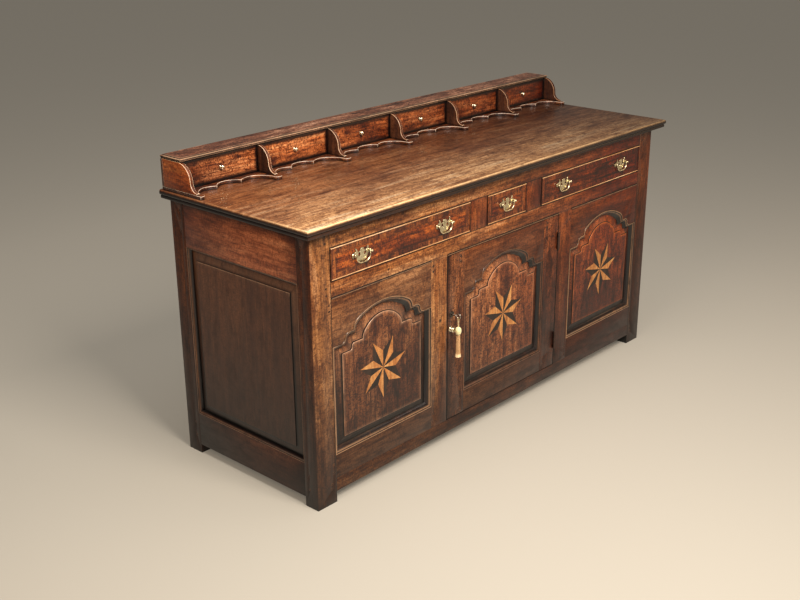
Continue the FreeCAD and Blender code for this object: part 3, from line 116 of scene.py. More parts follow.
def wood(name, grain, shades, patina="#a88c7c", worn=("#b9834d", 0.5), soot_and_shade="#2a201c",
        fades=(), knots=(), seams=(), age=1.0, wax=0.15):
    """Old waxed wood. grain is the axis of the fibres; shades run from the dark streaks to the light ones.
    patina darkens patches; worn is the colour of the arris marks and its share, rubbed wood on some materials
    and a painted highlight or painted shade along the arrises on others; soot_and_shade is the colour of
    painted shade and old wax in corners and recesses; and age scales the spots.
    Each fade names an axis, where its colour is full, where it ends, and the colour; each knot is a dark spot
    on the front, with its place across, its height and its radius; each seam is a dark line along a joint,
    partly painted shade where the joint is a gap, with its axis, its place on it and its reach."""
    made, tree, shader = new_material(name)
    place = add(tree, "TexCoord", give="Object")
    along = add(tree, "SeparateXYZ", (place,), give=None)
    board = add(tree, "Attribute", give="Vector", attribute_name="board")
    spot = add(tree, "VectorMath", (place, board), operation="ADD")

    def figure(length, width, detail, distortion=0.0):
        """Marks of a length along the grain and a width across it, in millimetres."""
        scale = [1 / ((length if axis == grain else width) * MM) for axis in "xyz"]
        fibre = add(tree, "Mapping", {"Vector": spot, "Scale": scale})
        return add(tree, "TexNoise", {
            "Vector": fibre, "Scale": 1, "Detail": detail, "Roughness": 0.62, "Distortion": distortion})

    def laid(colour, coats, strength):
        """A colour darkened by coats, each a share and the ramp that it runs through."""
        for share, stops in coats:
            shade = add(tree, "ValToRGB", (share,), stops=stops)
            colour = add(tree, "Mix", {0: strength, 6: colour, 7: shade}, give=2,
                         data_type="RGBA", blend_type="MULTIPLY")
        return colour

    # Streaks of the growth rings, fibres drawn coarser than they are so that they show, and mottled wax; then
    # the coats: fibres, pores, which are drawn coarser too, rays across the grain, wax and patches of patina
    streaks = figure(385, 24, 7, 0.7)
    fibres = figure(62, 4.2, 4)
    mottle = figure(71, 26, 6, 0.6)
    coats = (
        (fibres, ((0.36, "#a88c7c"), (0.54, CLEAR))),
        (figure(25, 1.1, 2), ((0.38, "#8a7262"), (0.48, CLEAR))),
        (figure(12, 21, 4, 2.6), ((0.38, "#7c5c48"), (0.56, CLEAR))),
        (mottle, ((0.36, "#94745f"), (0.52, CLEAR))),
        (figure(310, 220, 4, 0.4), ((0.38, patina), (0.58, CLEAR))),
    )

    # Stains and painted shade: painted shade and old wax in corners and recesses, from the occlusion, and
    # along the rims marked on a mesh, which paint the shade of coves, steps, quirks and nosings; fades, some
    # of them painted shade; knots; and seams, partly painted shade in gaps
    near = add(tree, "AmbientOcclusion", {"Distance": 10 * MM}, give="AO", samples=8)
    rim = add(tree, "Attribute", give="Fac", attribute_name="rim")
    rim = add(tree, "Math", (rim, mottle, rim), operation="MULTIPLY_ADD")
    stains_and_shade = [(near, ((0.4, soot_and_shade), (0.9, CLEAR))), (rim, ((0.25, CLEAR), (1, "#3a241c")))]
    for axis, full, gone, code in fades:
        share = add(tree, "MapRange", (along[axis], full, gone))
        stains_and_shade.append((share, ((0, code), (1, CLEAR))))
    marks = []
    for across, up, radius in knots:
        centre = (across, FRONT, up)
        apart = add(tree, "VectorMath", (place, centre), give=1, operation="DISTANCE")
        marks.append((apart, radius))
    for axis, middle, reach in seams:
        apart = add(tree, "Math", (along[axis], middle), operation="SUBTRACT")
        marks.append((add(tree, "Math", (apart,), operation="ABSOLUTE"), reach))
    for apart, reach in marks:
        share = add(tree, "MapRange", (apart, 0, reach))
        stains_and_shade.append((share, ((0.3, "#2a1c14"), (1, CLEAR))))

    # Arrises take the worn colour, broken up by the mottle: rubbed wood on some materials, painted highlights
    # or painted shade on others; the stains and painted shade lie over all
    colour = add(tree, "ValToRGB", (streaks,), stops=list(zip((0.32, 0.5, 0.68), shades.split())))
    arris = add(tree, "Attribute", give="Fac", attribute_name="arris")
    rubbed = add(tree, "MapRange", (mottle, 0.25, 0.5, 0, worn[1]))
    rubbed = add(tree, "Math", (rubbed, arris), operation="MULTIPLY")
    colour = laid(colour, coats, age)
    colour = add(tree, "Mix", {0: rubbed, 6: colour, 7: linear(worn[0])}, give=2, data_type="RGBA")
    rough = add(tree, "MapRange", (mottle, 0.3, 0.7, 0.5, 0.32))
    relief = add(tree, "Bump", {"Height": fibres, "Strength": 0.25, "Distance": 0.5 * MM})
    feed(tree, shader, {
        "Base Color": laid(colour, stains_and_shade, 1.0), "Roughness": rough, "Normal": relief,
        "Specular IOR Level": 0.35, "Coat Weight": wax, "Coat Roughness": 0.2})
    return made


def metal(name, bright, dull, rough, metallic=1.0):
    """Handled metal: bright where it is rubbed, dull in patches, and dull in corners with tarnish and painted
    shade.
    """
    made, tree, shader = new_material(name)
    place = add(tree, "TexCoord", give="Object")
    clouds = add(tree, "TexNoise", {"Vector": place, "Scale": 1 / (8 * MM), "Detail": 4})
    near = add(tree, "AmbientOcclusion", {"Distance": 5 * MM}, give="AO", samples=8)
    rubbed = add(tree, "Math", (clouds, near), operation="MULTIPLY")
    colour = add(tree, "ValToRGB", (rubbed,), stops=((0.22, dull), (0.5, bright)))
    feed(tree, shader, {"Base Color": colour, "Metallic": metallic, "Roughness": rough})
    return made


def thread(name, dark, light, width, tip=None):
    """Silky yarn: streaks along threads of a width in millimetres, and a soft sheen; tip is the height of a
    paler end."""
    made, tree, shader = new_material(name)
    place = add(tree, "TexCoord", give="Object")
    fine = 1 / (width * MM)
    fall = add(tree, "Mapping", {"Vector": place, "Scale": (fine, fine, fine / 12)})
    streaks = add(tree, "TexNoise", {"Vector": fall, "Scale": 1, "Detail": 3})
    colour = add(tree, "ValToRGB", (streaks,), stops=((0.35, dark), (0.65, light)))
    if tip:
        height = add(tree, "SeparateXYZ", (place,), give="Z")
        above = add(tree, "MapRange", (height, tip + 4 * MM, tip, 0, 0.8))
        colour = add(tree, "Mix", {0: above, 6: colour, 7: linear("#f4e0b4")}, give=2, data_type="RGBA")
    relief = add(tree, "Bump", {"Height": streaks, "Strength": 0.4, "Distance": 0.4 * MM})
    feed(tree, shader, {"Base Color": colour, "Normal": relief, "Roughness": 0.7, "Sheen Weight": 0.3})
    return made


# Fades of the oak, in metres along an axis: darker towards the floor, and a deeper red with painted shade
# towards the far bay
END = 0.9
LOW_DARKENING = ("Z", 0.0, 0.7, "#62544c")
LOW_SIDE = (("Z", 0.1, 0.75, "#685a4e"),)
TO_FAR_BAY = ("X", 0.6, -0.3)
FAR_RED_SHADE = (*TO_FAR_BAY, "#bc722d")
LOW_DARKENING_AND_FAR_SHADE = (LOW_DARKENING, FAR_RED_SHADE)
# Dark arrises of the front frame: painted shade along its gaps and rounded edges
DARK_ARRIS = ("#20120a", 0.9)

# Posts: golden brown with pale rubbed corners, darker near the floor, painted shade towards the far end and
# on the outer face, and a dark inner seam
oak_post = wood(
    "post oak", "z", "#7c4c28 #ae7642 #d0a070", worn=("#e8b880", 0.5), age=0.75,
    fades=(LOW_DARKENING, ("X", END, -0.3, "#b08060"),
           ("X", 0.3 * MM - HALF_WIDTH, 2 * MM - HALF_WIDTH, "#a08474")),
    seams=[("X", side * POST_INNER, 4 * MM) for side in BOTH])
# Muntins: light upright timbers with two knots by the door and dark seams, partly painted shade in the gaps,
# duller between the drawers
oak_upright = wood(
    "front oak, upright grain", "z", "#8c5428 #c07c42 #e4aa6c", worn=DARK_ARRIS, age=0.75,
    fades=(*LOW_DARKENING_AND_FAR_SHADE, ("Z", 0.7, 0.63, "#b9957b")), knots=((-0.324, 0.431, 9 * MM), (-0.292, 0.358, 7 * MM)),
    seams=[("X", side * edge, 5 * MM) for side in BOTH
           for edge in (MIDDLE_DRAWER_SIDE, OUTER_DRAWER_SIDE, DOOR_SIDE)])
# Front rails: warm brown streaks along their length, dark lines round the drawers, partly painted shade in
# the gaps, and one small knot
oak_across = wood(
    "front oak, grain across", "x", "#7c461e #c28044 #e6b27a", worn=DARK_ARRIS, age=0.8, fades=LOW_DARKENING_AND_FAR_SHADE,
    knots=((-0.5535, 0.659, 5 * MM),), seams=[("Z", edge, 4 * MM) for edge in (DRAWER_FOOT, DRAWER_HEAD)])
# Door stiles: a shade browner than the muntins, darker along the opening edge
oak_door_upright = wood(
    "door oak, upright grain", "z", "#7e4826 #b07040 #d09260", worn=DARK_ARRIS,
    fades=(*LOW_DARKENING_AND_FAR_SHADE, ("X", -0.289, -0.262, "#786068")))
# Rails of the bays and the door: duller brown; the door's head is darker still
RAIL_SHADES = "#764828 #a47044 #c49264"
oak_bay_across = wood("bay oak, grain across", "x", RAIL_SHADES, worn=DARK_ARRIS, age=0.7, fades=LOW_DARKENING_AND_FAR_SHADE)
oak_door_across = wood(
    "door oak, grain across", "x", RAIL_SHADES, worn=DARK_ARRIS, age=0.7,
    fades=(*LOW_DARKENING_AND_FAR_SHADE, ("Z", 0.63, 0.35, "#c0a088")))
# Arched panels: dark upright grain under a thicker wax, with a pale line at the field's edge, rubbed and
# partly painted highlight, a painted highlight on the head of the bevel, and painted shade towards the far
# bay
PANEL_WAX_HIGHLIGHT_AND_SHADE = {"worn": ("#dcac88", 0.8), "wax": 0.3, "fades": (LOW_DARKENING, (*TO_FAR_BAY, "#ffac54"))}
oak_panel = wood("panel oak", "z", "#744020 #ac6c3e #d49a64", **PANEL_WAX_HIGHLIGHT_AND_SHADE)
oak_door_panel = wood("door panel oak", "z", "#925628 #d28c52 #f2bc84", **PANEL_WAX_HIGHLIGHT_AND_SHADE)
# Mouldings round the panels: nearly black with old wax, glossy, rubbed on their rounds, less so on the door;
# the stronger pale marks at the foot of the front mouldings are partly painted highlight
MOULD_SHADES = "#2a140a #54301a #7a4c2c"
oak_door_mould = wood("oak door moulding", "z", MOULD_SHADES, worn=("#8a5c3c", 0.6), wax=0.5)
oak_mould = wood("oak moulding, rubbed", "z", MOULD_SHADES, worn=("#c89a70", 0.7), wax=0.5)
# Side posts, panels and mouldings: an even dark brown that gets darker towards the floor, with few marks
oak_side = wood(
    "side oak, upright grain", "z", "#5c2e14 #74401e #8a5028", worn=("#3a2414", 0.5), age=0.7, fades=LOW_SIDE)
oak_side_panel = wood(
    "side panel oak", "z", "#62361e #704326 #804e2e", worn=("#b08c70", 0.9),
    soot_and_shade="#54443a", age=0.45, wax=0.3, fades=LOW_SIDE)
oak_side_mould = wood(
    "oak side moulding", "z", "#4a2c1a #6c4428 #8a5c38", worn=("#b08c70", 0.7),
    soot_and_shade="#54443a", age=0.5, wax=0.5)
# Side rails: bright red-brown in the middle of the upper one and dark at its ends; darker under the top, with
# a stain and painted shade under its overhang, and darker low down, partly painted shade
oak_side_rail = wood(
    "side rail oak", "y", "#a85a34 #ea8e5a #ffb07c", worn=("#9a6a48", 0.5), age=0.6,
    fades=(("Z", 0.1, 0.66, "#443a34"), ("Z", 0.84, 0.79, "#7c6458"), ("Y", -0.23, -0.15, "#7c6454"),
           ("Y", 0.26, 0.0, "#86624e")))
# Drawer fronts: the reddest wood, with dark streaks and painted shade towards the far bay, in a darker border
# of wood laid across, in a pale bead
oak_drawer = wood(
    "drawer oak", "x", "#6c2e0a #c8661f #ffa046", patina="#8a6452", wax=0.3,
    fades=((*TO_FAR_BAY, "#8f5404"),))
oak_band = wood("crossbanded oak", "z", "#6a3416 #a05a28 #c07a3c", wax=0.3, fades=(FAR_RED_SHADE,))
oak_bead = wood("oak cock bead", "x", "#b07c50 #e8b47c #ffdcb0", soot_and_shade="#6c5446", age=0.35)
# Spice rack: fiery drawers, darker to the far end as painted shade; dividers with rubbed edges and faces in
# painted shade; a red end
oak_rack = wood(
    "rack oak", "x", "#8a441e #d68046 #f8b274", worn=("#e8c8a0", 0.9), soot_and_shade="#4a342a",
    fades=(("X", END, -0.7, "#986a50"), ("X", -END, -0.5, "#a4a4b8")))
oak_rack_edge = wood(
    "rack oak, rubbed edges", "y", "#5c3018 #7c4422 #9c5c30", worn=("#ecd0b0", 0.9),
    age=0.6, fades=(("X", END, -0.6, "#a08878"),))
oak_divider = wood("rack oak, shaded dividers", "z", "#2c1a12 #4c2c1c #6c4228", age=0.6)
oak_rack_end = wood("rack oak, outer end", "y", "#9c4c1a #d87432 #f09c54", age=0.6)
# Top: pale gold along the front and near end; browner and greyer towards the back, under the rack and at the
# far end, as painted shade
oak_top = wood(
    "worn oak top", "x", "#a06c40 #ecbc84 #ffe8c0", patina="#b89c8c", worn=("#f0cc98", 0.7), age=0.7, wax=0.3,
    fades=(("Y", -0.05, -0.33, "#b09484"), ("X", END, -0.8, "#98948e"), ("Y", 0.3, 0.0, "#c0a89c")))
# Rack's base and top: dark and glossy below, with pale scallop edges, rubbed and partly painted highlight,
# and a greyer brown above
oak_base = wood("rack base oak", "x", "#4a2410 #7c4422 #a0683c", worn=("#d8c0a8", 0.8), wax=0.6)
oak_rack_top = wood("rack top oak", "x", "#744830 #b88060 #e0b090", worn=("#e8c8a0", 0.8), wax=0.3)
# Pegs: dark end grain
oak_peg = wood("oak pegs, end grain", "y", "#2a1710 #4a2a1a #6a3e26")
# Unseen parts: grey-brown dusty deal and bare pale oak, both without wax
DEAL = {"shades": "#5e4631 #8a6b4c #a88a66", "patina": "#8a7a6c", "age": 0.6, "wax": 0.0}
deal = wood("dusty deal", "z", **DEAL)
deal_across = wood("dusty deal, grain across", "x", **DEAL)
lining = wood("bare oak drawer lining", "y", "#7e6248 #ac8a65 #c8a67c", patina="#8a7866", age=0.5, wax=0.0)
# Stars: honey-coloured boxwood beside nearly black bog oak, both flush, even and waxed
inlay_light = wood("boxwood inlay", "z", "#a4642e #cc8c4c #dca868", age=0.35)
inlay_dark = wood("bog oak inlay", "z", "#140d0a #241812 #33241b", age=0.35)
# Handles and knobs: pale yellow cast brass, dull in its corners with tarnish and painted shade; the knobs are
# polished by fingers
brass = metal("worn cast brass", "#e8dcb8", "#86744a", 0.3)
knob_brass = metal("polished turned brass", "#f6eed2", "#a89868", 0.16)
# Lock, key and hinges: dark forged iron, a key of rubbed grey steel, and hinges browned like the wood
iron = metal("rubbed forged iron", "#5a524a", "#1e1a18", 0.45)
steel = metal("rubbed key steel", "#b8aea0", "#3a322c", 0.3)
browned = metal("browned iron hinges", "#38241a", "#1a100a", 0.6, 0.2)
# Tassel: straw-gold twisted silk, a paler wound bead and brown-gold threads with paler ends
cord_silk = thread("twisted silk cord", "#b08f5c", "#e0c896", 0.38)
bead_thread = thread("wound silk bead", "#cdbf84", "#f0e6b4", 0.7)
fringe_thread = thread(
    "silk tassel threads", "#8a6238", "#e0b47c", 0.45, tip=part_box("tassel_skirt")[0].z + 8 * MM)


# Building pieces

def island_offsets(work, seed):
    """Gives the vertices of each separate board one offset, so that no two boards show the same grain."""
    chance = random.Random(seed)
    layer = work.verts.layers.float_vector.new("board")
    waiting = set(work.verts)
    for start in work.verts:
        if start not in waiting:
            continue
        offset = Vector([chance.uniform(-9, 9) for _ in range(3)])
        waiting.discard(start)
        front = [start]
        while front:
            vertex = front.pop()
            vertex[layer] = offset
            for edge in vertex.link_edges:
                other = edge.other_vert(vertex)
                if other in waiting:
                    waiting.discard(other)
                    front.append(other)


SHARP_ANGLE = radians(28)


def soften(work, width):
    """Rounds the arrises of a mesh, to a width in millimetres, and marks the rounded faces."""
    layer = work.faces.layers.float.new("arris")
    folds = [edge for edge in work.edges if len(edge.link_faces) == 2]
    sharp = [edge for edge in folds if edge.calc_face_angle() > SHARP_ANGLE]
    made = bmesh.ops.bevel(
        work, geom=sharp, offset=width * MM, segments=2, profile=0.5, affect="EDGES", clamp_overlap=True)
    for face in made["faces"]:
        face[layer] = 1


def fair(work):
    """Faces turned outwards."""
    bmesh.ops.recalc_face_normals(work, faces=work.faces)
    return work


def piece(node, work, finishes, smooth=35, trim=None, boarded=False):
    """Turns a mesh into a finished piece that rides with a node's body. It replaces the node, unless it is
    trim, which has a name of its own. A boarded piece shows another part of the grain in each board."""
    name = trim or f"{node}_shown"
    if boarded:
        island_offsets(work, name)
    mesh = bpy.data.meshes.new(name)
    work.to_mesh(mesh)
    work.free()
    for finish in finishes:
        mesh.materials.append(finish)
    mesh.shade_smooth()
    mesh.set_sharp_from_angle(angle=radians(smooth))
    made = bpy.data.objects.new(name, mesh)
    scene.collection.objects.link(made)
    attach(made, body_of[node])
    if not trim:
        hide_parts(node)
    return made


def softened(node, finish, width=1.2):
    """A copy of a node's own shape with rounded arrises."""
    work = bmesh.new()
    work.from_mesh(frame["nodes"][node].data)
    bmesh.ops.remove_doubles(work, verts=work.verts, dist=0.01 * MM)
    bmesh.ops.dissolve_limit(work, angle_limit=radians(1), verts=work.verts, edges=work.edges)
    soften(work, width)
    return piece(node, work, [finish], boarded=True)


def add_box(work, low, high):
    """Adds a squared board from its two corners."""
    made = bmesh.ops.create_cube(work, size=1)
    for vertex in made["verts"]:
        vertex.co = Vector([low[axis] if vertex.co[axis] < 0 else high[axis] for axis in range(3)])


def boards(node, boxes, finish, width=1.2):
    """Several squared boards with rounded arrises."""
    work = bmesh.new()
    for low, high in boxes:
        add_box(work, low, high)
    soften(work, width)
    piece(node, work, [finish], boarded=True)


def board_row(node, count, finish, width=1.2):
    """Boards side by side across the dresser."""
    low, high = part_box(node)
    step = (high.x - low.x) / count
    edges = [low.x + at * step for at in range(count + 1)]
    boxes = [((left, low.y, low.z), (right, high.y, high.z)) for left, right in zip(edges, edges[1:])]
    boards(node, boxes, finish, width)


def add_rings(work, rings, closed=True, caps=(False, False), slot=0):
    """Adds faces between rows of points that have the same count."""
    rows = [[work.verts.new(point) for point in ring] for ring in rings]
    count = len(rows[0])
    span = count if closed else count - 1
    for low, high in zip(rows, rows[1:]):
        for at in range(span):
            after = (at + 1) % count
            face = work.faces.new((low[at], low[after], high[after], high[at]))
            face.material_index = slot
    for cap, row in zip(caps, (rows[0], rows[-1])):
        if cap:
            work.faces.new(row).material_index = slot
    return rows


def turns(steps):
    """Angles of a full turn in equal steps."""
    return [tau * step / steps for step in range(steps)]


def add_lathe(work, profile, centre, axis, steps):
    """Adds a turned form: a profile of (radius, height) in millimetres, spun about an axis."""
    turn = Vector((0, 0, 1)).rotation_difference(Vector(axis)).to_matrix()
    rings = []
    for radius, height in profile:
        circle = [(radius * cos(angle), radius * sin(angle), height) for angle in turns(steps)]
        rings.append([Vector(centre) + turn @ (Vector(point) * MM) for point in circle])
    add_rings(work, rings, caps=(True, True))


def add_tube(work, points, radii, steps=14, closed=False):
    """Adds a round bar along points, with a radius at each."""
    count = len(points)
    rings = []
    side = None
    for at, point in enumerate(points):
        before = points[at - 1] if closed or at else points[at]
        after = points[(at + 1) % count] if closed or at + 1 < count else points[at]
        ahead = (after - before).normalized()
        if side is None:
            side = ahead.orthogonal().normalized()
        side = (side - ahead * side.dot(ahead)).normalized()
        up = ahead.cross(side)
        rings.append(
            [point + (side * cos(angle) + up * sin(angle)) * radii[at] for angle in turns(steps)])
    if closed:
        rings.append(rings[0])
        rows = add_rings(work, rings)
        bmesh.ops.remove_doubles(work, verts=rows[0] + rows[-1], dist=0.001 * MM)
    else:
        add_rings(work, rings, caps=(True, True))


def mirrored(right):
    """Points of a right half, then those of the left half, back to the start."""
    return right + [(-across, up) for across, up in reversed(right)]


def arc(start, end, centre, steps):
    """Points after start, up to end, on the short arc about a centre, in a plane."""
    first = atan2(start[1] - centre[1], start[0] - centre[0])
    sweep = atan2(end[1] - centre[1], end[0] - centre[0]) - first
    sweep = (sweep + pi) % tau - pi
    radius = hypot(start[0] - centre[0], start[1] - centre[1])
    angles = [first + sweep * step / steps for step in range(1, steps + 1)]
    return [(centre[0] + radius * cos(angle), centre[1] + radius * sin(angle)) for angle in angles]


def rounded_route(points, radii, steps):
    """Points along straight runs with a tangent arc of its own radius at each inner point."""
    route = [points[0]]
    for before, corner, after, radius in zip(points, points[1:], points[2:], radii):
        inward = (before - corner).normalized()
        onward = (after - corner).normalized()
        half_angle = inward.angle(onward) / 2
        centre = corner + (inward + onward).normalized() * (radius / sin(half_angle))
        start = corner + inward * (radius / tan(half_angle)) - centre
        end = corner + onward * (radius / tan(half_angle)) - centre
        turn = start.rotation_difference(end)
        for step in range(steps + 1):
            share = turn.copy()
            share.angle = turn.angle * step / steps
            spot = centre + share @ start
            if (spot - route[-1]).length > 0.01 * MM:
                route.append(spot)
    route.append(points[-1])
    return route


# Frame timbers, pegs and lock: the frame's own shapes with arrises rounded to a width in millimetres
for node, finish, width in (
    ("front_posts", oak_post, 2.0), ("front_rails", oak_across, 1.0), ("muntins", oak_upright, 1.6),
    ("bay_rails", oak_bay_across, 0.8), ("door_stiles", oak_door_upright, 2.0),
    ("door_rails", oak_door_across, 0.8), ("back_posts", oak_side, 2.0), ("side_rails", oak_side_rail, 1.0),
    ("back_rails", deal_across, 0.6), ("joint_pegs", oak_peg, 0.4), ("door_pegs", oak_peg, 0.4),
    ("spice_base", oak_base, 1.0),
    ("keyhole_plate", iron, 0.3), ("lock_case", iron, 0.4), ("lock_bolt", iron, 0.4),
):
    softened(node, finish, width)
# The dividers' side faces get the dark finish as painted shade, and the left end's outer face the red end
# finish
dividers = softened("spice_dividers", oak_rack_edge).data
dividers.materials.append(oak_divider)
dividers.materials.append(oak_rack_end)
for face in dividers.polygons:
    if abs(face.normal.x) > 0.9:
        face.material_index = 2 if abs(face.center.x) > RACK_HALF - 1 * MM else 1

# Back, floor and rack boards, each with its own grain
board_row("back_boards", BACK_BOARDS, deal, 1.6)
board_row("floor_boards", FLOOR_BOARDS, lining)
board_row("spice_back", 1, oak_rack)

# Runners and hinges: the nodes' own meshes, given a finish
for node, finish in (
    ("drawer_runners", lining), ("hinge_frame_leaves", browned), ("hinge_door_leaves", browned),
):
    mesh = frame["nodes"][node].data
    mesh.materials.clear()
    mesh.materials.append(finish)

# Moulded planks. Each edge lists (inset, height, wear, soot) from below: a round over a set-back bead for the
# top, two small beads and a fillet for the rack's top. The soot on the top's set-back bead and under the
# rack's nosing is painted shade
EDGE = (
    (7, 0, 0, 1), (5.2, 0.8, 0, 1), (4.2, 3, 0, 0.7), (4.2, 7, 0, 0.7), (5, 9.6, 0, 1),
    (6.6, 10.8, 0, 1), (3.4, 11.6, 0, 1), (1.2, 13.2, 0, 1), (0.2, 16, 0.1, 0.8), (0, 19, 0.1, 0.7),
    (0.6, 22.6, 0.2, 0.5), (2.2, 25.4, 0.8, 0.1), (4, 26.6, 0.6, 0), (6, 27, 0.1, 0),
    (14, 27, 0, 0),
)
RACK_EDGE = (
    (3.4, 0, 0, 0.6), (3.2, 1.4, 0, 0.6), (1.4, 2.2, 0.1, 0.3), (0.8, 3.2, 0.4, 0.3), (1.4, 4.2, 0.1, 0.5),
    (2.2, 4.6, 0, 1), (0.9, 5.2, 0, 0.6), (0.1, 6.4, 0.1, 0.5), (0.4, 7.8, 0.3, 0.3), (2, 8.8, 0.4, 0.1),
    (5, 9.1, 0.1, 0.2), (9, 9.1, 0, 0.8), (9.2, 9.8, 0, 0.8), (9.8, 10, 0.3, 0), (12, 10, 0.1, 0),
    (18, 10, 0, 0),
)


def blank(*names):
    """An empty mesh whose points can carry the named shares."""
    work = bmesh.new()
    for name in names:
        work.verts.layers.float.new(name)
    return work


def marked(work, rows, **shares):
    """Writes the shares of wear and painted highlight, named arris, or of soot and painted shade, named rim,
    row by row.
    """
    for name, values in shares.items():
        layer = work.verts.layers.float[name]
        for row, value in zip(rows, values):
            for vertex in row:
                vertex[layer] = value


def eased(work, rows, level, above, **shares):
    """Scales the shares of the points on one side of a level."""
    for name, share in shares.items():
        layer = work.verts.layers.float[name]
        for vertex in (vertex for row in rows for vertex in row):
            if (vertex.co.z > level) == above:
                vertex[layer] *= share


def planks(node, finish, edge, count):
    """The planks of a board whose front and ends are moulded."""
    low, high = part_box(node)
    step = (high.y - low.y) / count
    joint = 0.15 * MM
    work = blank("arris", "rim")
    for at in range(count):
        rings = []
        for inset, up, _, _ in edge:
            left, right, level = low.x + inset * MM, high.x - inset * MM, low.z + up * MM
            near = low.y + at * step + (joint if at else inset * MM)
            far = low.y + (at + 1) * step - (joint if at + 1 < count else 0)
            corners = ((left, near), (right, near), (right, far), (left, far))
            rings.append([Vector((x, y, level)) for x, y in corners])
        _, _, wear_and_highlight, soot_and_shade = zip(*edge)
        marked(work, add_rings(work, rings, caps=(True, True)), arris=wear_and_highlight, rim=soot_and_shade)
    piece(node, fair(work), [finish], boarded=True)


planks("top_boards", oak_top, EDGE, TOP_BOARDS)
planks("spice_top", oak_rack_top, RACK_EDGE, 1)

# Arched outline of the front openings, in millimetres
PANEL_TONGUE = 8
low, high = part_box("door_panel")
ARCH_HALF = (high.x - low.x) / 2 / MM - PANEL_TONGUE
ARCH_LOW = low.z / MM + PANEL_TONGUE
ARCH_CROWN = high.z / MM - PANEL_TONGUE
ARCH_RISE, ARCH_SIDE_RADIUS, ARCH_HALF_SPAN = 58, 34, 125
OGEE_RISE, OGEE_WIDTH, SHOULDER_FLAT, SHOULDER_DROP = 29, 31, 35, 12
BAY_MIDDLE = 575
BAYS = (-BAY_MIDDLE, BAY_MIDDLE)


def arched_ring(middle, inset, depth):
    """The arched opening drawn in by inset, at a depth behind the front, all in millimetres."""
    half, foot = ARCH_HALF - inset, ARCH_LOW + inset
    spring = ARCH_CROWN - ARCH_RISE - inset
    shoulder = ARCH_CROWN - ARCH_RISE - OGEE_RISE - 0.8 * inset
    outer = ARCH_HALF - SHOULDER_FLAT - 0.9 * inset
    inner = ARCH_HALF - SHOULDER_FLAT - OGEE_WIDTH - 0.6 * inset
    span = ARCH_HALF_SPAN - inset
    crown = (span ** 2 + ARCH_RISE ** 2 - 2 * span * ARCH_SIDE_RADIUS) / (2 * (ARCH_RISE - ARCH_SIDE_RADIUS))
    bend = (outer + inner) / 2, (shoulder + spring) / 2
    ogee = (((outer - inner) / 2) ** 2 + ((spring - shoulder) / 2) ** 2) / (spring - shoulder)
    side_centre = Vector((span - ARCH_SIDE_RADIUS, spring))
    crown_centre = Vector((0, spring + ARCH_RISE - crown))
    haunch = crown_centre + (side_centre - crown_centre).normalized() * crown
    right = [(half, foot), (half, shoulder - SHOULDER_DROP), (half, shoulder), (outer, shoulder)]
    right += arc(right[-1], bend, (outer, shoulder + ogee), 8)
    right += arc(bend, (inner, spring), (inner, spring - ogee), 8)
    right.append((span, spring))
    right += arc(right[-1], haunch, side_centre, 10)
    right += arc(haunch, (0, spring + ARCH_RISE), crown_centre, 16)
    whole = right + [(-across, up) for across, up in reversed(right[:-1])]
    return [Vector(((middle + across) * MM, FRONT + depth * MM, up * MM)) for across, up in whole]


# Stuck mouldings round the panels: (inset, depth, wear, soot) from the frame's face down to the panel; the
# soot in the cove is painted shade with old wax
MOULD = (
    (-0.6, 0.6, 0, 1), (-0.5, -0.4, 0.3, 0.3), (0.4, -1.2, 0.9, 0), (1.6, -1.4, 0.9, 0),
    (2.8, -1, 0.2, 0.4), (3.4, 0.2, 0, 1), (3.8, 0.9, 0, 1), (4.8, 0.9, 0.3, 0.4), (6.4, 1.3, 0.6, 0),
    (8.6, 2.6, 0.2, 0.4), (10.8, 4.8, 0, 1), (13.4, 8, 0, 1), (15.6, 11, 0, 1), (17.6, 12, 0.1, 1),
    (18, 13.6, 0, 1),
)
SIDE_MOULD = (
    (-0.4, 0.4, 0, 0.6), (-0.3, -0.3, 0.3, 0), (0.6, -0.6, 0.5, 0.1), (1.6, 0.2, 0.2, 0.4),
    (2, 1.8, 0, 0.9), (3.4, 2.2, 0.3, 0.2), (5.4, 3.6, 0.1, 0.4), (7.2, 6.4, 0, 0.6), (7.8, 9.6, 0, 0.8),
    (9, 11, 0.1, 0.8), (9.2, 13.6, 0, 1),
)
FOOT_LEVEL = (ARCH_LOW + 30) * MM

# Raised panels, likewise, from the tongue to the field; the first rings of an arched panel are its bevel. The
# soot by the frame and beside the field's step is painted shadow with dirt, the wear on the bevel a painted
# highlight, and the pale field edge partly painted highlight
PANEL = (
    (-8, 20, 0, 0), (-8, 14, 0, 1), (12, 14, 0, 1), (19, 13.4, 0, 0.9), (26, 11.8, 0.1, 0.7),
    (33, 9.9, 0.15, 0.6), (39, 8, 0.2, 0.6), (41.4, 7.4, 0, 1.2), (41.9, 7.2, 0, 1.6),
    (42.3, 5.7, 0.8, 0), (42.9, 5.1, 1, 0), (44.4, 5.1, 0.3, 0.1), (52, 5.1, 0, 0),
)
BEVEL_RINGS = 7
HEAD_LEVEL = (ARCH_CROWN - ARCH_RISE - OGEE_RISE - 40) * MM
# On the side panels the soot beside the field's step paints its shadow line, and the wear on the field's
# upper edge is a painted highlight
SIDE_PANEL = (
    (-8, 20, 0, 0), (-8, 14, 0, 1), (10, 14, 0, 1), (16, 12.6, 0.1, 0.5), (28, 9.6, 0.2, 0.4),
    (34, 8.2, 0.1, 0.9), (37.2, 7.6, 0, 1.6), (37.6, 5.9, 0.6, 1), (38.3, 5.1, 1, 0.3),
    (40, 5.1, 0.1, 0.1), (48, 5.1, 0, 0),
)
SIDE_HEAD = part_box("side_panels")[1].z - 57 * MM


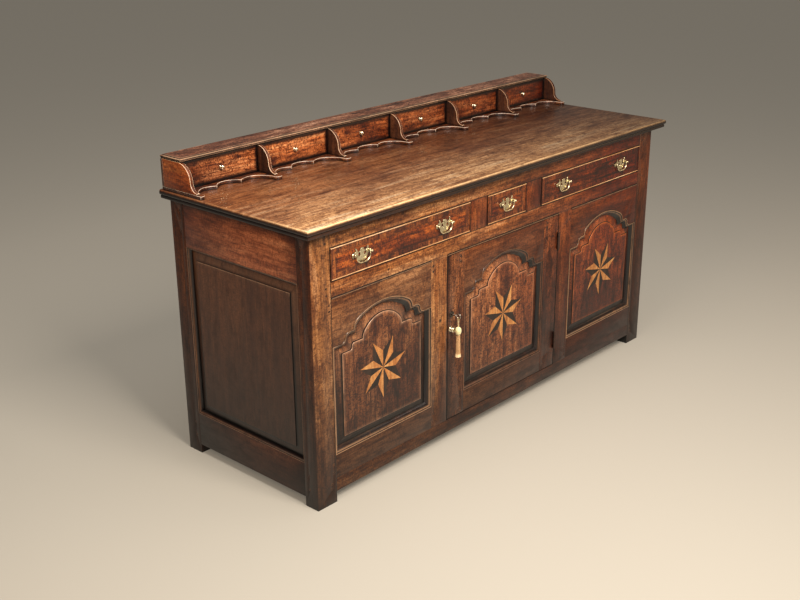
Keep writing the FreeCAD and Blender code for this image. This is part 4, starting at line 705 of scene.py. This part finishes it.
def profiled(node, finish, profile, ring_at, places, eases=(), trim=None, closed=True):
    """A profile run round openings that ring_at draws at a place, inset and depth: trim, or raised panels.
    Each ease scales shares of the first rings on one side of a level."""
    work = blank("arris", "rim")
    _, _, wear_and_highlight, soot_and_shade = zip(*profile)
    for place in places:
        rings = [ring_at(place, inset, depth) for inset, depth, _, _ in profile]
        rows = add_rings(work, rings, closed, (not trim, not trim))
        marked(work, rows, arris=wear_and_highlight, rim=soot_and_shade)
        for count, level, above, shares in eases:
            eased(work, rows[:count], level, above, **shares)
    piece(node, fair(work), [finish], smooth=50 if trim else 20, trim=trim, boarded=True)


def side_ring(side, inset, depth):
    """The side panel's opening drawn in by inset, at a depth behind the side, with a point below each upper
    corner."""
    low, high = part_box("side_panels")
    shift = (PANEL_TONGUE + inset) * MM
    across = side * (HALF_WIDTH - depth * MM)
    front, back, foot, head = low.y + shift, high.y - shift, low.z + shift, high.z - shift
    shoulder = head - SHOULDER_DROP * MM
    corners = ((front, foot), (back, foot), (back, shoulder), (back, head), (front, head), (front, shoulder))
    return [Vector((across, y, z)) for y, z in corners]


# Painted light and shade: above its level a panel's bevel keeps its pale marks and less of its dark rim, as
# painted highlight, and below it keeps the dark rim, as painted shade, and no pale marks; the front mouldings
# keep their pale marks and less of the dark rim at the foot, as painted highlight
PANEL_EASES, SIDE_EASES = [
    ((count, level, True, {"rim": 0.35}), (count, level, False, {"arris": 0}))
    for count, level in ((BEVEL_RINGS, HEAD_LEVEL), (len(SIDE_PANEL), SIDE_HEAD))]
MOULD_EASES = ((len(MOULD), FOOT_LEVEL, True, {"arris": 0.6}), (len(MOULD), FOOT_LEVEL, False, {"rim": 0.5}))
profiled("front_panels", oak_panel, PANEL, arched_ring, BAYS, PANEL_EASES)
profiled("door_panel", oak_door_panel, PANEL, arched_ring, (0,), PANEL_EASES)
profiled("side_panels", oak_side_panel, SIDE_PANEL, side_ring, BOTH, SIDE_EASES)
profiled("front_panels", oak_mould, MOULD, arched_ring, BAYS, MOULD_EASES, "bay_mouldings")
profiled("door_panel", oak_door_mould, MOULD, arched_ring, (0,), MOULD_EASES, "door_moulding")
profiled("side_panels", oak_side_mould, SIDE_MOULD, side_ring, BOTH, trim="side_mouldings")

# Bead on the drawer rail's lower edge over the bays and the door: (height, depth, wear, soot) from that edge;
# the soot in its quirks is painted shade
RAIL_BEAD = (
    (0, 1, 0, 1), (0, -0.8, 0, 1), (0.8, -1.8, 0.2, 0.3), (2.2, -2.4, 0.5, 0), (3.6, -1.8, 0.2, 0.5),
    (4.6, -0.4, 0, 1), (5, 0.4, 0, 1), (5.2, -0.1, 0, 1), (6.4, -0.1, 0, 0.8),
)
RAIL_SPANS = ((-POST_INNER, -BAY_INNER), (-DOOR_SIDE, DOOR_SIDE), (BAY_INNER, POST_INNER))


def bead_row(span, up, depth):
    """The ends of the rail bead at a height and depth."""
    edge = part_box("bay_rails")[1].z
    return [Vector((x, FRONT + depth * MM, edge + up * MM)) for x in span]


profiled("front_rails", oak_mould, RAIL_BEAD, bead_row, RAIL_SPANS, trim="rail_beads", closed=False)

# Star inlays: each point split into a light and a dark half
STAR_POINTS = 7
STAR_TIP, STAR_VALLEY = 99 * MM, 54 * MM
for node, middles in (("front_stars", BAYS), ("door_star", (0,))):
    low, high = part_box(node)
    work = bmesh.new()
    for middle in middles:
        centre = Vector((middle * MM, low.y, low.z + STAR_TIP))
        rim = []
        for step in range(2 * STAR_POINTS):
            angle = -pi / 2 + pi * step / STAR_POINTS
            reach = STAR_VALLEY if step % 2 else STAR_TIP
            rim.append(centre + Vector((cos(angle), 0, sin(angle))) * reach)
        for step, start in enumerate(rim):
            end = rim[(step + 1) % len(rim)]
            face = work.faces.new([work.verts.new(corner) for corner in (centre, start, end)])
            face.material_index = 1 if step % 2 == 0 else 0
            made = bmesh.ops.extrude_face_region(work, geom=[face])
            for vertex in (item for item in made["geom"] if isinstance(item, bmesh.types.BMVert)):
                vertex.co.y = high.y
    piece(node, fair(work), [inlay_light, inlay_dark], boarded=True)

# Drawers: crossbanded fronts inside rounded cock beads, and plain boxes. The bead lists (inset, depth)
BAND, BEAD_WIDTH, BEAD_SEAT = 19, 3, 0.6
COCK_BEAD = (
    (0, 12), (0, -0.4), (0.3, -1.3), (1, -1.9), (1.5, -2), (2, -1.9), (2.7, -1.3), (3, -0.4),
    (3, 1),
)
BAND_RIM = ((BAND, 0, 0.5), (BAND + 6, 0, 0.3), (BAND + 16, 0, 0))
BOX_WALL, BOX_RISE, BOX_BOTTOM, BOX_DROP = 10 * MM, 4 * MM, 8 * MM, 8 * MM


def rectangle(left, right, foot, head, inset, depth):
    """An upright rectangle drawn in by inset, at a depth behind the front."""
    shift = inset * MM
    y = FRONT + depth * MM
    corners = ((left + shift, foot + shift), (right - shift, foot + shift),
               (right - shift, head - shift), (left + shift, head - shift))
    return [Vector((x, y, z)) for x, z in corners]


def rimmed(work, outline, rings, depth=0):
    """Adds a flat face with a darker rim: rings of (inset, depth, soot), drawn in."""
    rows = [rectangle(*outline, inset, depth + back) for inset, back, _ in rings]
    marked(work, add_rings(work, rows, caps=(False, True)), rim=[soot_and_shade for _, _, soot_and_shade in rings])


def box_boards(low, high, wall, bottom, rise=0, drop=0):
    """Sides, bottom and back of a drawer; rise lifts the bottom, and drop lowers the back's upper edge."""
    left, right, floor = low.x + wall, high.x - wall, low.z + rise + bottom
    return [
        (low, (left, high.y, high.z)), ((right, low.y, low.z), high),
        ((left, low.y, low.z + rise), (right, high.y, floor)),
        ((left, high.y - wall, floor), (right, high.y, high.z - drop)),
    ]


for name in HANDLES:
    node = f"drawer_front_{name}"
    low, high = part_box(node)
    outline = (low.x, high.x, low.z, high.z)
    work = blank("rim")
    add_rings(work, [rectangle(*outline, *point) for point in COCK_BEAD], slot=2)
    for face in work.faces:
        if max(abs(edge.verts[0].co.z - edge.verts[1].co.z) for edge in face.edges) > BAND * MM:
            face.material_index = 1
    border = ((BEAD_WIDTH, BEAD_SEAT), (BEAD_WIDTH, 0), (BAND, 0))
    add_rings(work, [rectangle(*outline, *point) for point in border], slot=1)
    rimmed(work, outline, BAND_RIM)
    shift = BEAD_WIDTH * MM
    add_box(work, (low.x + shift, FRONT + BEAD_SEAT * MM, low.z + shift),
            (high.x - shift, high.y, high.z - shift))
    piece(node, fair(work), [oak_drawer, oak_band, oak_bead], smooth=50, boarded=True)

    node = f"drawer_box_{name}"
    boards(node, box_boards(*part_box(node), BOX_WALL, BOX_BOTTOM, BOX_RISE, BOX_DROP), lining, 0.8)

# Spice drawers: boxes behind a front whose rings list (inset, depth, soot) from its back to its middle; their
# dark rim is partly painted shade by the dividers and under the rack's top
SPICE_WALL, SPICE_FRONT = 6 * MM, 9 * MM
SPICE_RINGS = (
    (4, 9, 1), (0, 9, 1), (0, 1, 1), (0.4, 0.3, 1), (1, 0, 0.8), (7, 0, 0.6), (14, 0, 0.25), (24, 0, 0),
)
for number in range(1, SPICE_DRAWERS + 1):
    node = f"spice_drawer_{number}"
    low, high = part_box(node)
    work = blank("rim")
    for corners in box_boards(low + Vector((0, SPICE_FRONT, 0)), high, SPICE_WALL, SPICE_WALL):
        add_box(work, *corners)
    soften(work, 0.8)
    rimmed(work, (low.x, high.x, low.z, high.z), SPICE_RINGS, (low.y - FRONT) / MM)
    piece(node, fair(work), [oak_rack], boarded=True)

# Backplates, in millimetres: the right half's outline is arcs through three points each, given as shares
PLATE_HALF_WIDTH, PLATE_HALF_HEIGHT = 39, 20.5
PLATE_SHARES = (
    (0, -1), (0.434, -0.664), (0.591, -0.162), (0.682, 0), (0.818, -0.085), (0.886, -0.213),
    (0.955, -0.191), (1, 0.021), (0.977, 0.255), (0.875, 0.404), (0.75, 0.447), (0.648, 0.596),
    (0.659, 0.83), (0.636, 0.979), (0.58, 0.979), (0.511, 0.787), (0.455, 0.553), (0.341, 0.447),
    (0.216, 0.511), (0.193, 0.745), (0, 0.915),
)
PIERCE_ACROSS, PIERCE_UP = 0.295 * PLATE_HALF_WIDTH, 0.064 * PLATE_HALF_HEIGHT
PIERCE_HALF_WIDTH, PIERCE_HALF_HEIGHT = 4, 5.8
PLATE_BEVEL = 0.5 * MM


def through(start, middle, end, steps):
    """Points after start on the arc through three points of a plane, which count as complex numbers."""
    first, second, third = [complex(*point) for point in (start, middle, end)]
    ratio = (third - first) / (second - first)
    found = first + (second - first) * (ratio - abs(ratio) ** 2) / (2j * ratio.imag)
    centre = (found.real, found.imag)
    half = arc(start, middle, centre, steps)
    return half + arc(half[-1], end, centre, steps)


def shaped(holder):
    """The mesh of an object as its curve or modifiers make it; the object is removed."""
    scene.collection.objects.link(holder)
    bpy.context.view_layer.update()
    mesh = bpy.data.meshes.new_from_object(holder.evaluated_get(bpy.context.evaluated_depsgraph_get()))
    bpy.data.objects.remove(holder)
    return mesh


def plate_mesh():
    """A backplate's outline and piercings as one bevelled sheet, in the X-Z plane about its own middle."""
    points = [(across * PLATE_HALF_WIDTH, up * PLATE_HALF_HEIGHT) for across, up in PLATE_SHARES]
    right = points[:1]
    for start, middle, end in zip(points[::2], points[1::2], points[2::2]):
        right += through(start, middle, end, 5)
    loops = [right + [(-across, up) for across, up in reversed(right[1:-1])]]
    for side in BOTH:
        loops.append([(side * PIERCE_ACROSS + PIERCE_HALF_WIDTH * cos(angle),
                       PIERCE_UP + PIERCE_HALF_HEIGHT * sin(angle)) for angle in turns(24)])
    curve = bpy.data.curves.new("plate_outline", "CURVE")
    curve.dimensions = "2D"
    curve.fill_mode = "BOTH"
    curve.extrude = PLATE_BEVEL
    curve.bevel_depth = PLATE_BEVEL
    curve.offset = -PLATE_BEVEL
    curve.bevel_resolution = 2
    for loop in loops:
        spline = curve.splines.new("POLY")
        spline.points.add(len(loop) - 1)
        for point, (across, up) in zip(spline.points, loop):
            point.co = (across * MM, up * MM, 0, 1)
        spline.use_cyclic_u = True
    mesh = shaped(bpy.data.objects.new("plate_outline", curve))
    bpy.data.curves.remove(curve)
    mesh.transform(Matrix.Rotation(pi / 2, 4, "X"))
    return mesh


# Posts of the handles and their nuts inside the drawer, as turned profiles, and the bails, in millimetres
POST = (
    (2, -1), (4.8, -1), (5, 0.2), (4.2, 1), (2.8, 1.7), (2.6, 2.4), (3.5, 3.2), (4, 4.6), (4, 7.2),
    (3.5, 8.9), (2.2, 10), (0.6, 10.4),
)
NUT = ((5, 0), (5, 2.4), (4.4, 3.0))
POST_HALF_SPACING, POST_RISE, POST_SEAT, PLATE_SEAT, FRONT_THICK = 33.5, 3, 1.5, 1.0, 20
BAIL_PIN, BAIL_ARM, BAIL_GRIP = 2.8, 26.9, 16.5
BAIL_HEAD, BAIL_ELBOW, BAIL_DROP = 1.9, 13.5, 24.5
BAIL_CORNER, BAIL_BEND = 2.4, 17
BAIL_THIN, BAIL_SWELL = 1.5, 0.5
plate = plate_mesh()
for name, count in HANDLES.items():
    work = bmesh.new()
    for bail in [f"bail_{name}_{number}" for number in range(1, count + 1)]:
        low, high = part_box(bail)
        middle, axis, level = (low.x + high.x) / 2, (low.y + high.y) / 2, high.z - BAIL_HEAD * MM
        copy = plate.copy()
        copy.transform(Matrix.Translation((middle, FRONT - PLATE_SEAT * MM, level - POST_RISE * MM)))
        work.from_mesh(copy)
        bpy.data.meshes.remove(copy)
        for side in BOTH:
            across = middle + side * POST_HALF_SPACING * MM
            add_lathe(work, POST, (across, FRONT - POST_SEAT * MM, level), (0, -1, 0), 24)
            add_lathe(work, NUT, (across, FRONT + FRONT_THICK * MM, level), (0, 1, 0), 12)

        corners = mirrored([
            (POST_HALF_SPACING + BAIL_PIN, 0), (BAIL_ARM, 0),
            (BAIL_ARM, -BAIL_ELBOW), (BAIL_GRIP, -BAIL_DROP)])
        radii = (BAIL_CORNER, BAIL_BEND, BAIL_BEND, BAIL_BEND, BAIL_BEND, BAIL_CORNER)
        route = [Vector((middle + across * MM, axis, level + up * MM)) for across, up in corners]
        points = rounded_route(route, [radius * MM for radius in radii], 10)
        lower = [max(0, (level - point.z) / (BAIL_DROP * MM)) for point in points]
        ring = bmesh.new()
        add_tube(ring, points, [(BAIL_THIN + BAIL_SWELL * share ** 1.5) * MM for share in lower])
        piece(bail, fair(ring), [brass], smooth=60)
    piece(f"handle_plates_{name}", fair(work), [brass], smooth=40)

# Turned knobs
SPICE_KNOB = (
    (1.5, -2), (5.4, -2), (5.5, 0.3), (4.8, 1), (2.9, 1.6), (2.5, 3.2), (2.9, 4.8), (5.2, 5.8),
    (6.7, 7.4), (7, 9), (6.3, 10.8), (4.2, 11.9), (1, 12.2),
)
DOOR_KNOB = (
    (2.5, -3), (8.6, -3), (8.8, 0.4), (8, 1.4), (5.4, 2), (4, 3), (3.6, 4.6), (4.4, 6),
    (7.4, 7.2), (9, 9.2), (9, 11.2), (7.6, 13.4), (4.4, 14.8), (1, 15),
)


def knob(node, profile, seat, steps):
    """A knob turned about its node's middle, on a seat."""
    low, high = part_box(node)
    work = bmesh.new()
    add_lathe(work, profile, ((low.x + high.x) / 2, seat, (low.z + high.z) / 2), (0, -1, 0), steps)
    piece(node, fair(work), [knob_brass], smooth=50)


for number in range(1, SPICE_DRAWERS + 1):
    knob(f"spice_knob_{number}", SPICE_KNOB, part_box(f"spice_drawer_{number}")[0].y, 28)
knob("door_knob", DOOR_KNOB, FRONT, 36)

# Key: ring bow, collared shank and bit
BOW_RADIUS, BOW_WIRE = 7.5 * MM, 1.5 * MM
COLLAR = ((1.6, -0.6), (2.4, 0.6), (3.4, 1.4), (3.4, 2.6), (2.4, 3.4))
SHANK_RADIUS, SHANK_TIP, SHANK_CHAMFER = 2.4, 1.8, 0.5
BIT_HALF, BIT_LONG, BIT_DROP = 1 * MM, 4 * MM, 8 * MM
low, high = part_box("key")
key_x = (low.x + high.x) / 2
bow_centre = Vector((key_x, low.y + BOW_RADIUS + BOW_WIRE, high.z - BOW_RADIUS - BOW_WIRE))
work = bmesh.new()
bow = [bow_centre + Vector((0, cos(angle), sin(angle))) * BOW_RADIUS for angle in turns(40)]
add_tube(work, bow, [BOW_WIRE] * len(bow), 12, closed=True)
shank_front = bow_centre.y + BOW_RADIUS
shank_long = (high.y - shank_front) / MM
shank = (*COLLAR, (SHANK_RADIUS, shank_long - SHANK_CHAMFER), (SHANK_TIP, shank_long))
add_lathe(work, shank, (key_x, shank_front, bow_centre.z), (0, 1, 0), 24)
add_box(work, (key_x - BIT_HALF, high.y - BIT_LONG, bow_centre.z - BIT_DROP),
        (key_x + BIT_HALF, high.y, bow_centre.z))
piece("key", fair(work), [steel], smooth=45)

# Tassel: looped cord, wound bead and hanging threads
cord_radius = 0.9 * MM
CORD_APART, CORD_STRAIGHT, CORD_EASE, CORD_SLACK = 1.3 * MM, 5 * MM, 28 * MM, 0.3 * MM
BEAD_EYE, BEAD_SHARE, BEAD_FULLNESS, BEAD_LEAN, BEAD_STEPS = 1.2, 0.97, 0.8, 0.08, 18
cord_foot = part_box("tassel_cord")[0].z
hang = Vector((key_x, bow_centre.y, 0))
wrap = BOW_WIRE + CORD_SLACK + cord_radius
wire_low = bow_centre.z - BOW_RADIUS
corners = mirrored([
    (CORD_APART, cord_foot), (CORD_APART, cord_foot + CORD_STRAIGHT),
    (wrap, wire_low - wrap), (wrap, wire_low + wrap)])
cord_route = rounded_route(
    [hang + Vector((across, 0, up)) for across, up in corners],
    [CORD_EASE, CORD_EASE, wrap, wrap, CORD_EASE, CORD_EASE], 12)
work = bmesh.new()
add_tube(work, cord_route, [cord_radius] * len(cord_route), 10)
cord = piece("tassel_cord", fair(work), [cord_silk], smooth=60)

low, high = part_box("tassel_bead")
bead_tall = (high.z - low.z) / MM
bead_wide = (high.x - low.x) / 2 / MM
profile = []
for step in range(BEAD_STEPS + 1):
    angle = pi * step / BEAD_STEPS
    swell = sin(angle) ** BEAD_FULLNESS * (1 - BEAD_LEAN * cos(angle))
    profile.append((max(BEAD_EYE, bead_wide * BEAD_SHARE * swell), bead_tall * (1 - cos(angle)) / 2))
work = bmesh.new()
add_lathe(work, profile, hang + Vector((0, 0, low.z)), (0, 0, 1), 36)
piece("tassel_bead", fair(work), [bead_thread], smooth=60)

# Each thread starts a golden angle on from the last; waves are counted in a metre
GOLDEN_ANGLE = 2.39996
WAVES, WAVE_SHARE = 260.0, 0.2


def thread_tree():
    """Geometry nodes for a tassel's skirt: threads spread about an axis, waved and flared at the foot."""
    tree = bpy.data.node_groups.new("Tassel threads", "GeometryNodeTree")
    tree.interface.new_socket("Geometry", in_out="OUTPUT", socket_type="NodeSocketGeometry")
    floats = ("Length", "Head radius", "Foot radius", "Flare", "Thread radius")
    for name, kind in (("Threads", "Int"), *[(name, "Float") for name in floats], ("Finish", "Material")):
        tree.interface.new_socket(name, in_out="INPUT", socket_type=f"NodeSocket{kind}")
    given = add(tree, "NodeGroupInput", give=None)

    # Starts spread evenly over the head, and the direction of each thread
    index = add(tree, "GeometryNodeInputIndex")
    angle = add(tree, "Math", (index, GOLDEN_ANGLE), operation="MULTIPLY")
    spread = add(tree, "Math", (index, given["Threads"]), operation="DIVIDE")
    spread = add(tree, "Math", (spread,), operation="SQRT")
    sides = [add(tree, "Math", (angle,), operation=kind) for kind in ("COSINE", "SINE")]
    outward = add(tree, "CombineXYZ", [
        add(tree, "Math", (side, spread), operation="MULTIPLY") for side in sides])
    starts = add(tree, "VectorMath", {0: outward, "Scale": given["Head radius"]}, operation="SCALE")
    widening = add(tree, "Math", (given["Foot radius"], given["Head radius"]), operation="SUBTRACT")
    lean = add(tree, "VectorMath", {0: outward, "Scale": widening}, operation="SCALE")
    rise = add(tree, "CombineXYZ", {"Z": given["Length"]})
    upward = add(tree, "VectorMath", (rise, lean), operation="SUBTRACT")
    turn = add(tree, "FunctionNodeAlignRotationToVector", {"Vector": upward}, axis="Z")

    # One strand, hung from each start
    row = add(tree, "GeometryNodeMeshLine", {"Count": given["Threads"]}, mode="OFFSET")
    row = add(tree, "GeometryNodeSetPosition", {"Geometry": row, "Position": starts})
    strand = add(tree, "GeometryNodeMeshCylinder", {
        "Vertices": 5, "Side Segments": 10, "Radius": given["Thread radius"], "Depth": given["Length"]})
    half = add(tree, "Math", (given["Length"], -0.5), operation="MULTIPLY")
    below = add(tree, "CombineXYZ", {"Z": half})
    strand = add(tree, "GeometryNodeTransform", {"Geometry": strand, "Translation": below})
    made = add(tree, "GeometryNodeInstanceOnPoints", {"Points": row, "Instance": strand, "Rotation": turn})
    made = add(tree, "GeometryNodeRealizeInstances", {"Geometry": made})

    # A wave that grows down the threads, and a flare over their last tenth
    spot = add(tree, "GeometryNodeInputPosition")
    along = add(tree, "SeparateXYZ", (spot,), give=None)
    down = add(tree, "Math", (given["Length"], -1.0), operation="MULTIPLY")
    fall = add(tree, "Math", (along["Z"], down), operation="DIVIDE")
    wave = add(tree, "TexNoise", {"Vector": spot, "Scale": WAVES, "Detail": 1.0}, give="Color")
    wave = add(tree, "VectorMath", (wave, (0.5, 0.5, 0.5)), operation="SUBTRACT")
    reach = add(tree, "Math", (given["Foot radius"], WAVE_SHARE), operation="MULTIPLY")
    reach = add(tree, "Math", (fall, reach), operation="MULTIPLY")
    wave = add(tree, "VectorMath", {0: wave, "Scale": reach}, operation="SCALE")
    flat = add(tree, "CombineXYZ", (along["X"], along["Y"]))
    foot = add(tree, "MapRange", (fall, 0.9, 1))
    foot = add(tree, "Math", (foot, given["Flare"]), operation="MULTIPLY")
    flare = add(tree, "VectorMath", {0: flat, "Scale": foot}, operation="SCALE")
    shift = add(tree, "VectorMath", (wave, flare), operation="ADD")
    made = add(tree, "GeometryNodeSetPosition", {"Geometry": made, "Offset": shift})
    made = add(tree, "GeometryNodeSetMaterial", {"Geometry": made, "Material": given["Finish"]})
    add(tree, "NodeGroupOutput", {"Geometry": made}, give=None)
    return tree


low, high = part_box("tassel_skirt")
values = {
    "Threads": 180, "Length": high.z - low.z - 0.4 * MM, "Head radius": 5.4 * MM, "Foot radius": 8.0 * MM,
    "Flare": 0.12, "Thread radius": 0.55 * MM, "Finish": fringe_thread}
holder = bpy.data.objects.new("tassel_threads", bpy.data.meshes.new("tassel_threads"))
modifier = holder.modifiers.new("threads", "NODES")
modifier.node_group = thread_tree()
for item in modifier.node_group.interface.items_tree:
    if item.in_out == "INPUT":
        modifier[item.identifier] = values[item.name]
threads = shaped(holder)
threads.transform(Matrix.Translation(hang + Vector((0, 0, high.z))))
work = bmesh.new()
work.from_mesh(threads)
bpy.data.meshes.remove(threads)
piece("tassel_skirt", work, [fringe_thread], smooth=60)


# Floor, light and camera

def seen_as_backdrop(tree):
    """One for the rays that show the backdrop by sight, in metal or through glass, and none for the rest."""
    rays = add(tree, "LightPath", give=None)
    seen = rays["Is Camera Ray"]
    for kind in ("Is Glossy Ray", "Is Transmission Ray"):
        seen = add(tree, "Math", (seen, rays[kind]), operation="MAXIMUM")
    return seen


# A matt pale floor that keeps the shadow and doesn't sink to black far from the lamps
FLOOR_HALF = 90
made, tree, shader = new_material("pale floor")
feed(tree, shader, {
    "Base Color": linear("#9a958a"), "Roughness": 0.8,
    "Emission Color": linear("#635d53"), "Emission Strength": seen_as_backdrop(tree)})
work = bmesh.new()
bmesh.ops.create_grid(work, x_segments=1, y_segments=1, size=FLOOR_HALF)
mesh = bpy.data.meshes.new("floor")
work.to_mesh(mesh)
work.free()
mesh.materials.append(made)
floor = bpy.data.objects.new("floor", mesh)
scene.collection.objects.link(floor)

# A dim room lights the dresser, and a wall of the far floor's colour shows behind it
world = bpy.data.worlds.new("soft room")
scene.world = world
world.use_nodes = True
tree = world.node_tree
room = tree.nodes["Background"]
feed(tree, room, {"Color": linear("#b4b6ba"), "Strength": 0.22})
wall = add(tree, "Background", {"Color": linear("#6d6861"), "Strength": 1.0})
shown = add(tree, "MixShader", (seen_as_backdrop(tree), room.outputs[0], wall))
feed(tree, tree.nodes["World Output"], {"Surface": shown})


def soft_light(name, place, aim, size, power, code):
    """A large soft lamp that looks at a point."""
    lamp = bpy.data.lights.new(name, "AREA")
    lamp.size = size
    lamp.energy = power
    lamp.color = linear(code)[:3]
    made = bpy.data.objects.new(name, lamp)
    made.location = place
    made.rotation_euler = (Vector(aim) - Vector(place)).to_track_quat("-Z", "Y").to_euler()
    scene.collection.objects.link(made)


soft_light("front lamp", (-0.9, -2.1, 2.6), (-0.6, -0.3, 0.65), 1.2, 160, "#fff4e8")
soft_light("overhead", (-0.4, -0.6, 3.2), (-0.2, -0.2, 0.7), 2.2, 40, "#ffffff")
soft_light("left fill", (-2.9, -0.7, 2.5), (-0.8, 0, 0.6), 1.2, 34, "#ffe8d0")
soft_light("right window", (2.6, -2.6, 1.2), (0, -0.2, 0.5), 1.8, 16, "#ffd4a8")

# The photograph's camera: where it stands, how it is turned, and its focal length as a share of the width
CAMERA_PLACE = (-2.824, -2.404, 1.759)
YAW, PITCH, ROLL = radians(47.47), radians(21.0), radians(0.45)
FOCAL_SHARE = 1152.8 / 800
SENSOR_WIDTH = 36
lens = bpy.data.cameras.new("camera")
lens.sensor_width = SENSOR_WIDTH
lens.lens = SENSOR_WIDTH * FOCAL_SHARE
camera = bpy.data.objects.new("camera", lens)
camera.matrix_world = Matrix.Translation(CAMERA_PLACE)
for angle, axis in ((-YAW, "Z"), (pi / 2 - PITCH, "X"), (-ROLL, "Z")):
    camera.matrix_world @= Matrix.Rotation(angle, 4, axis)
scene.collection.objects.link(camera)
scene.camera = camera
scene.view_settings.view_transform = "Standard"
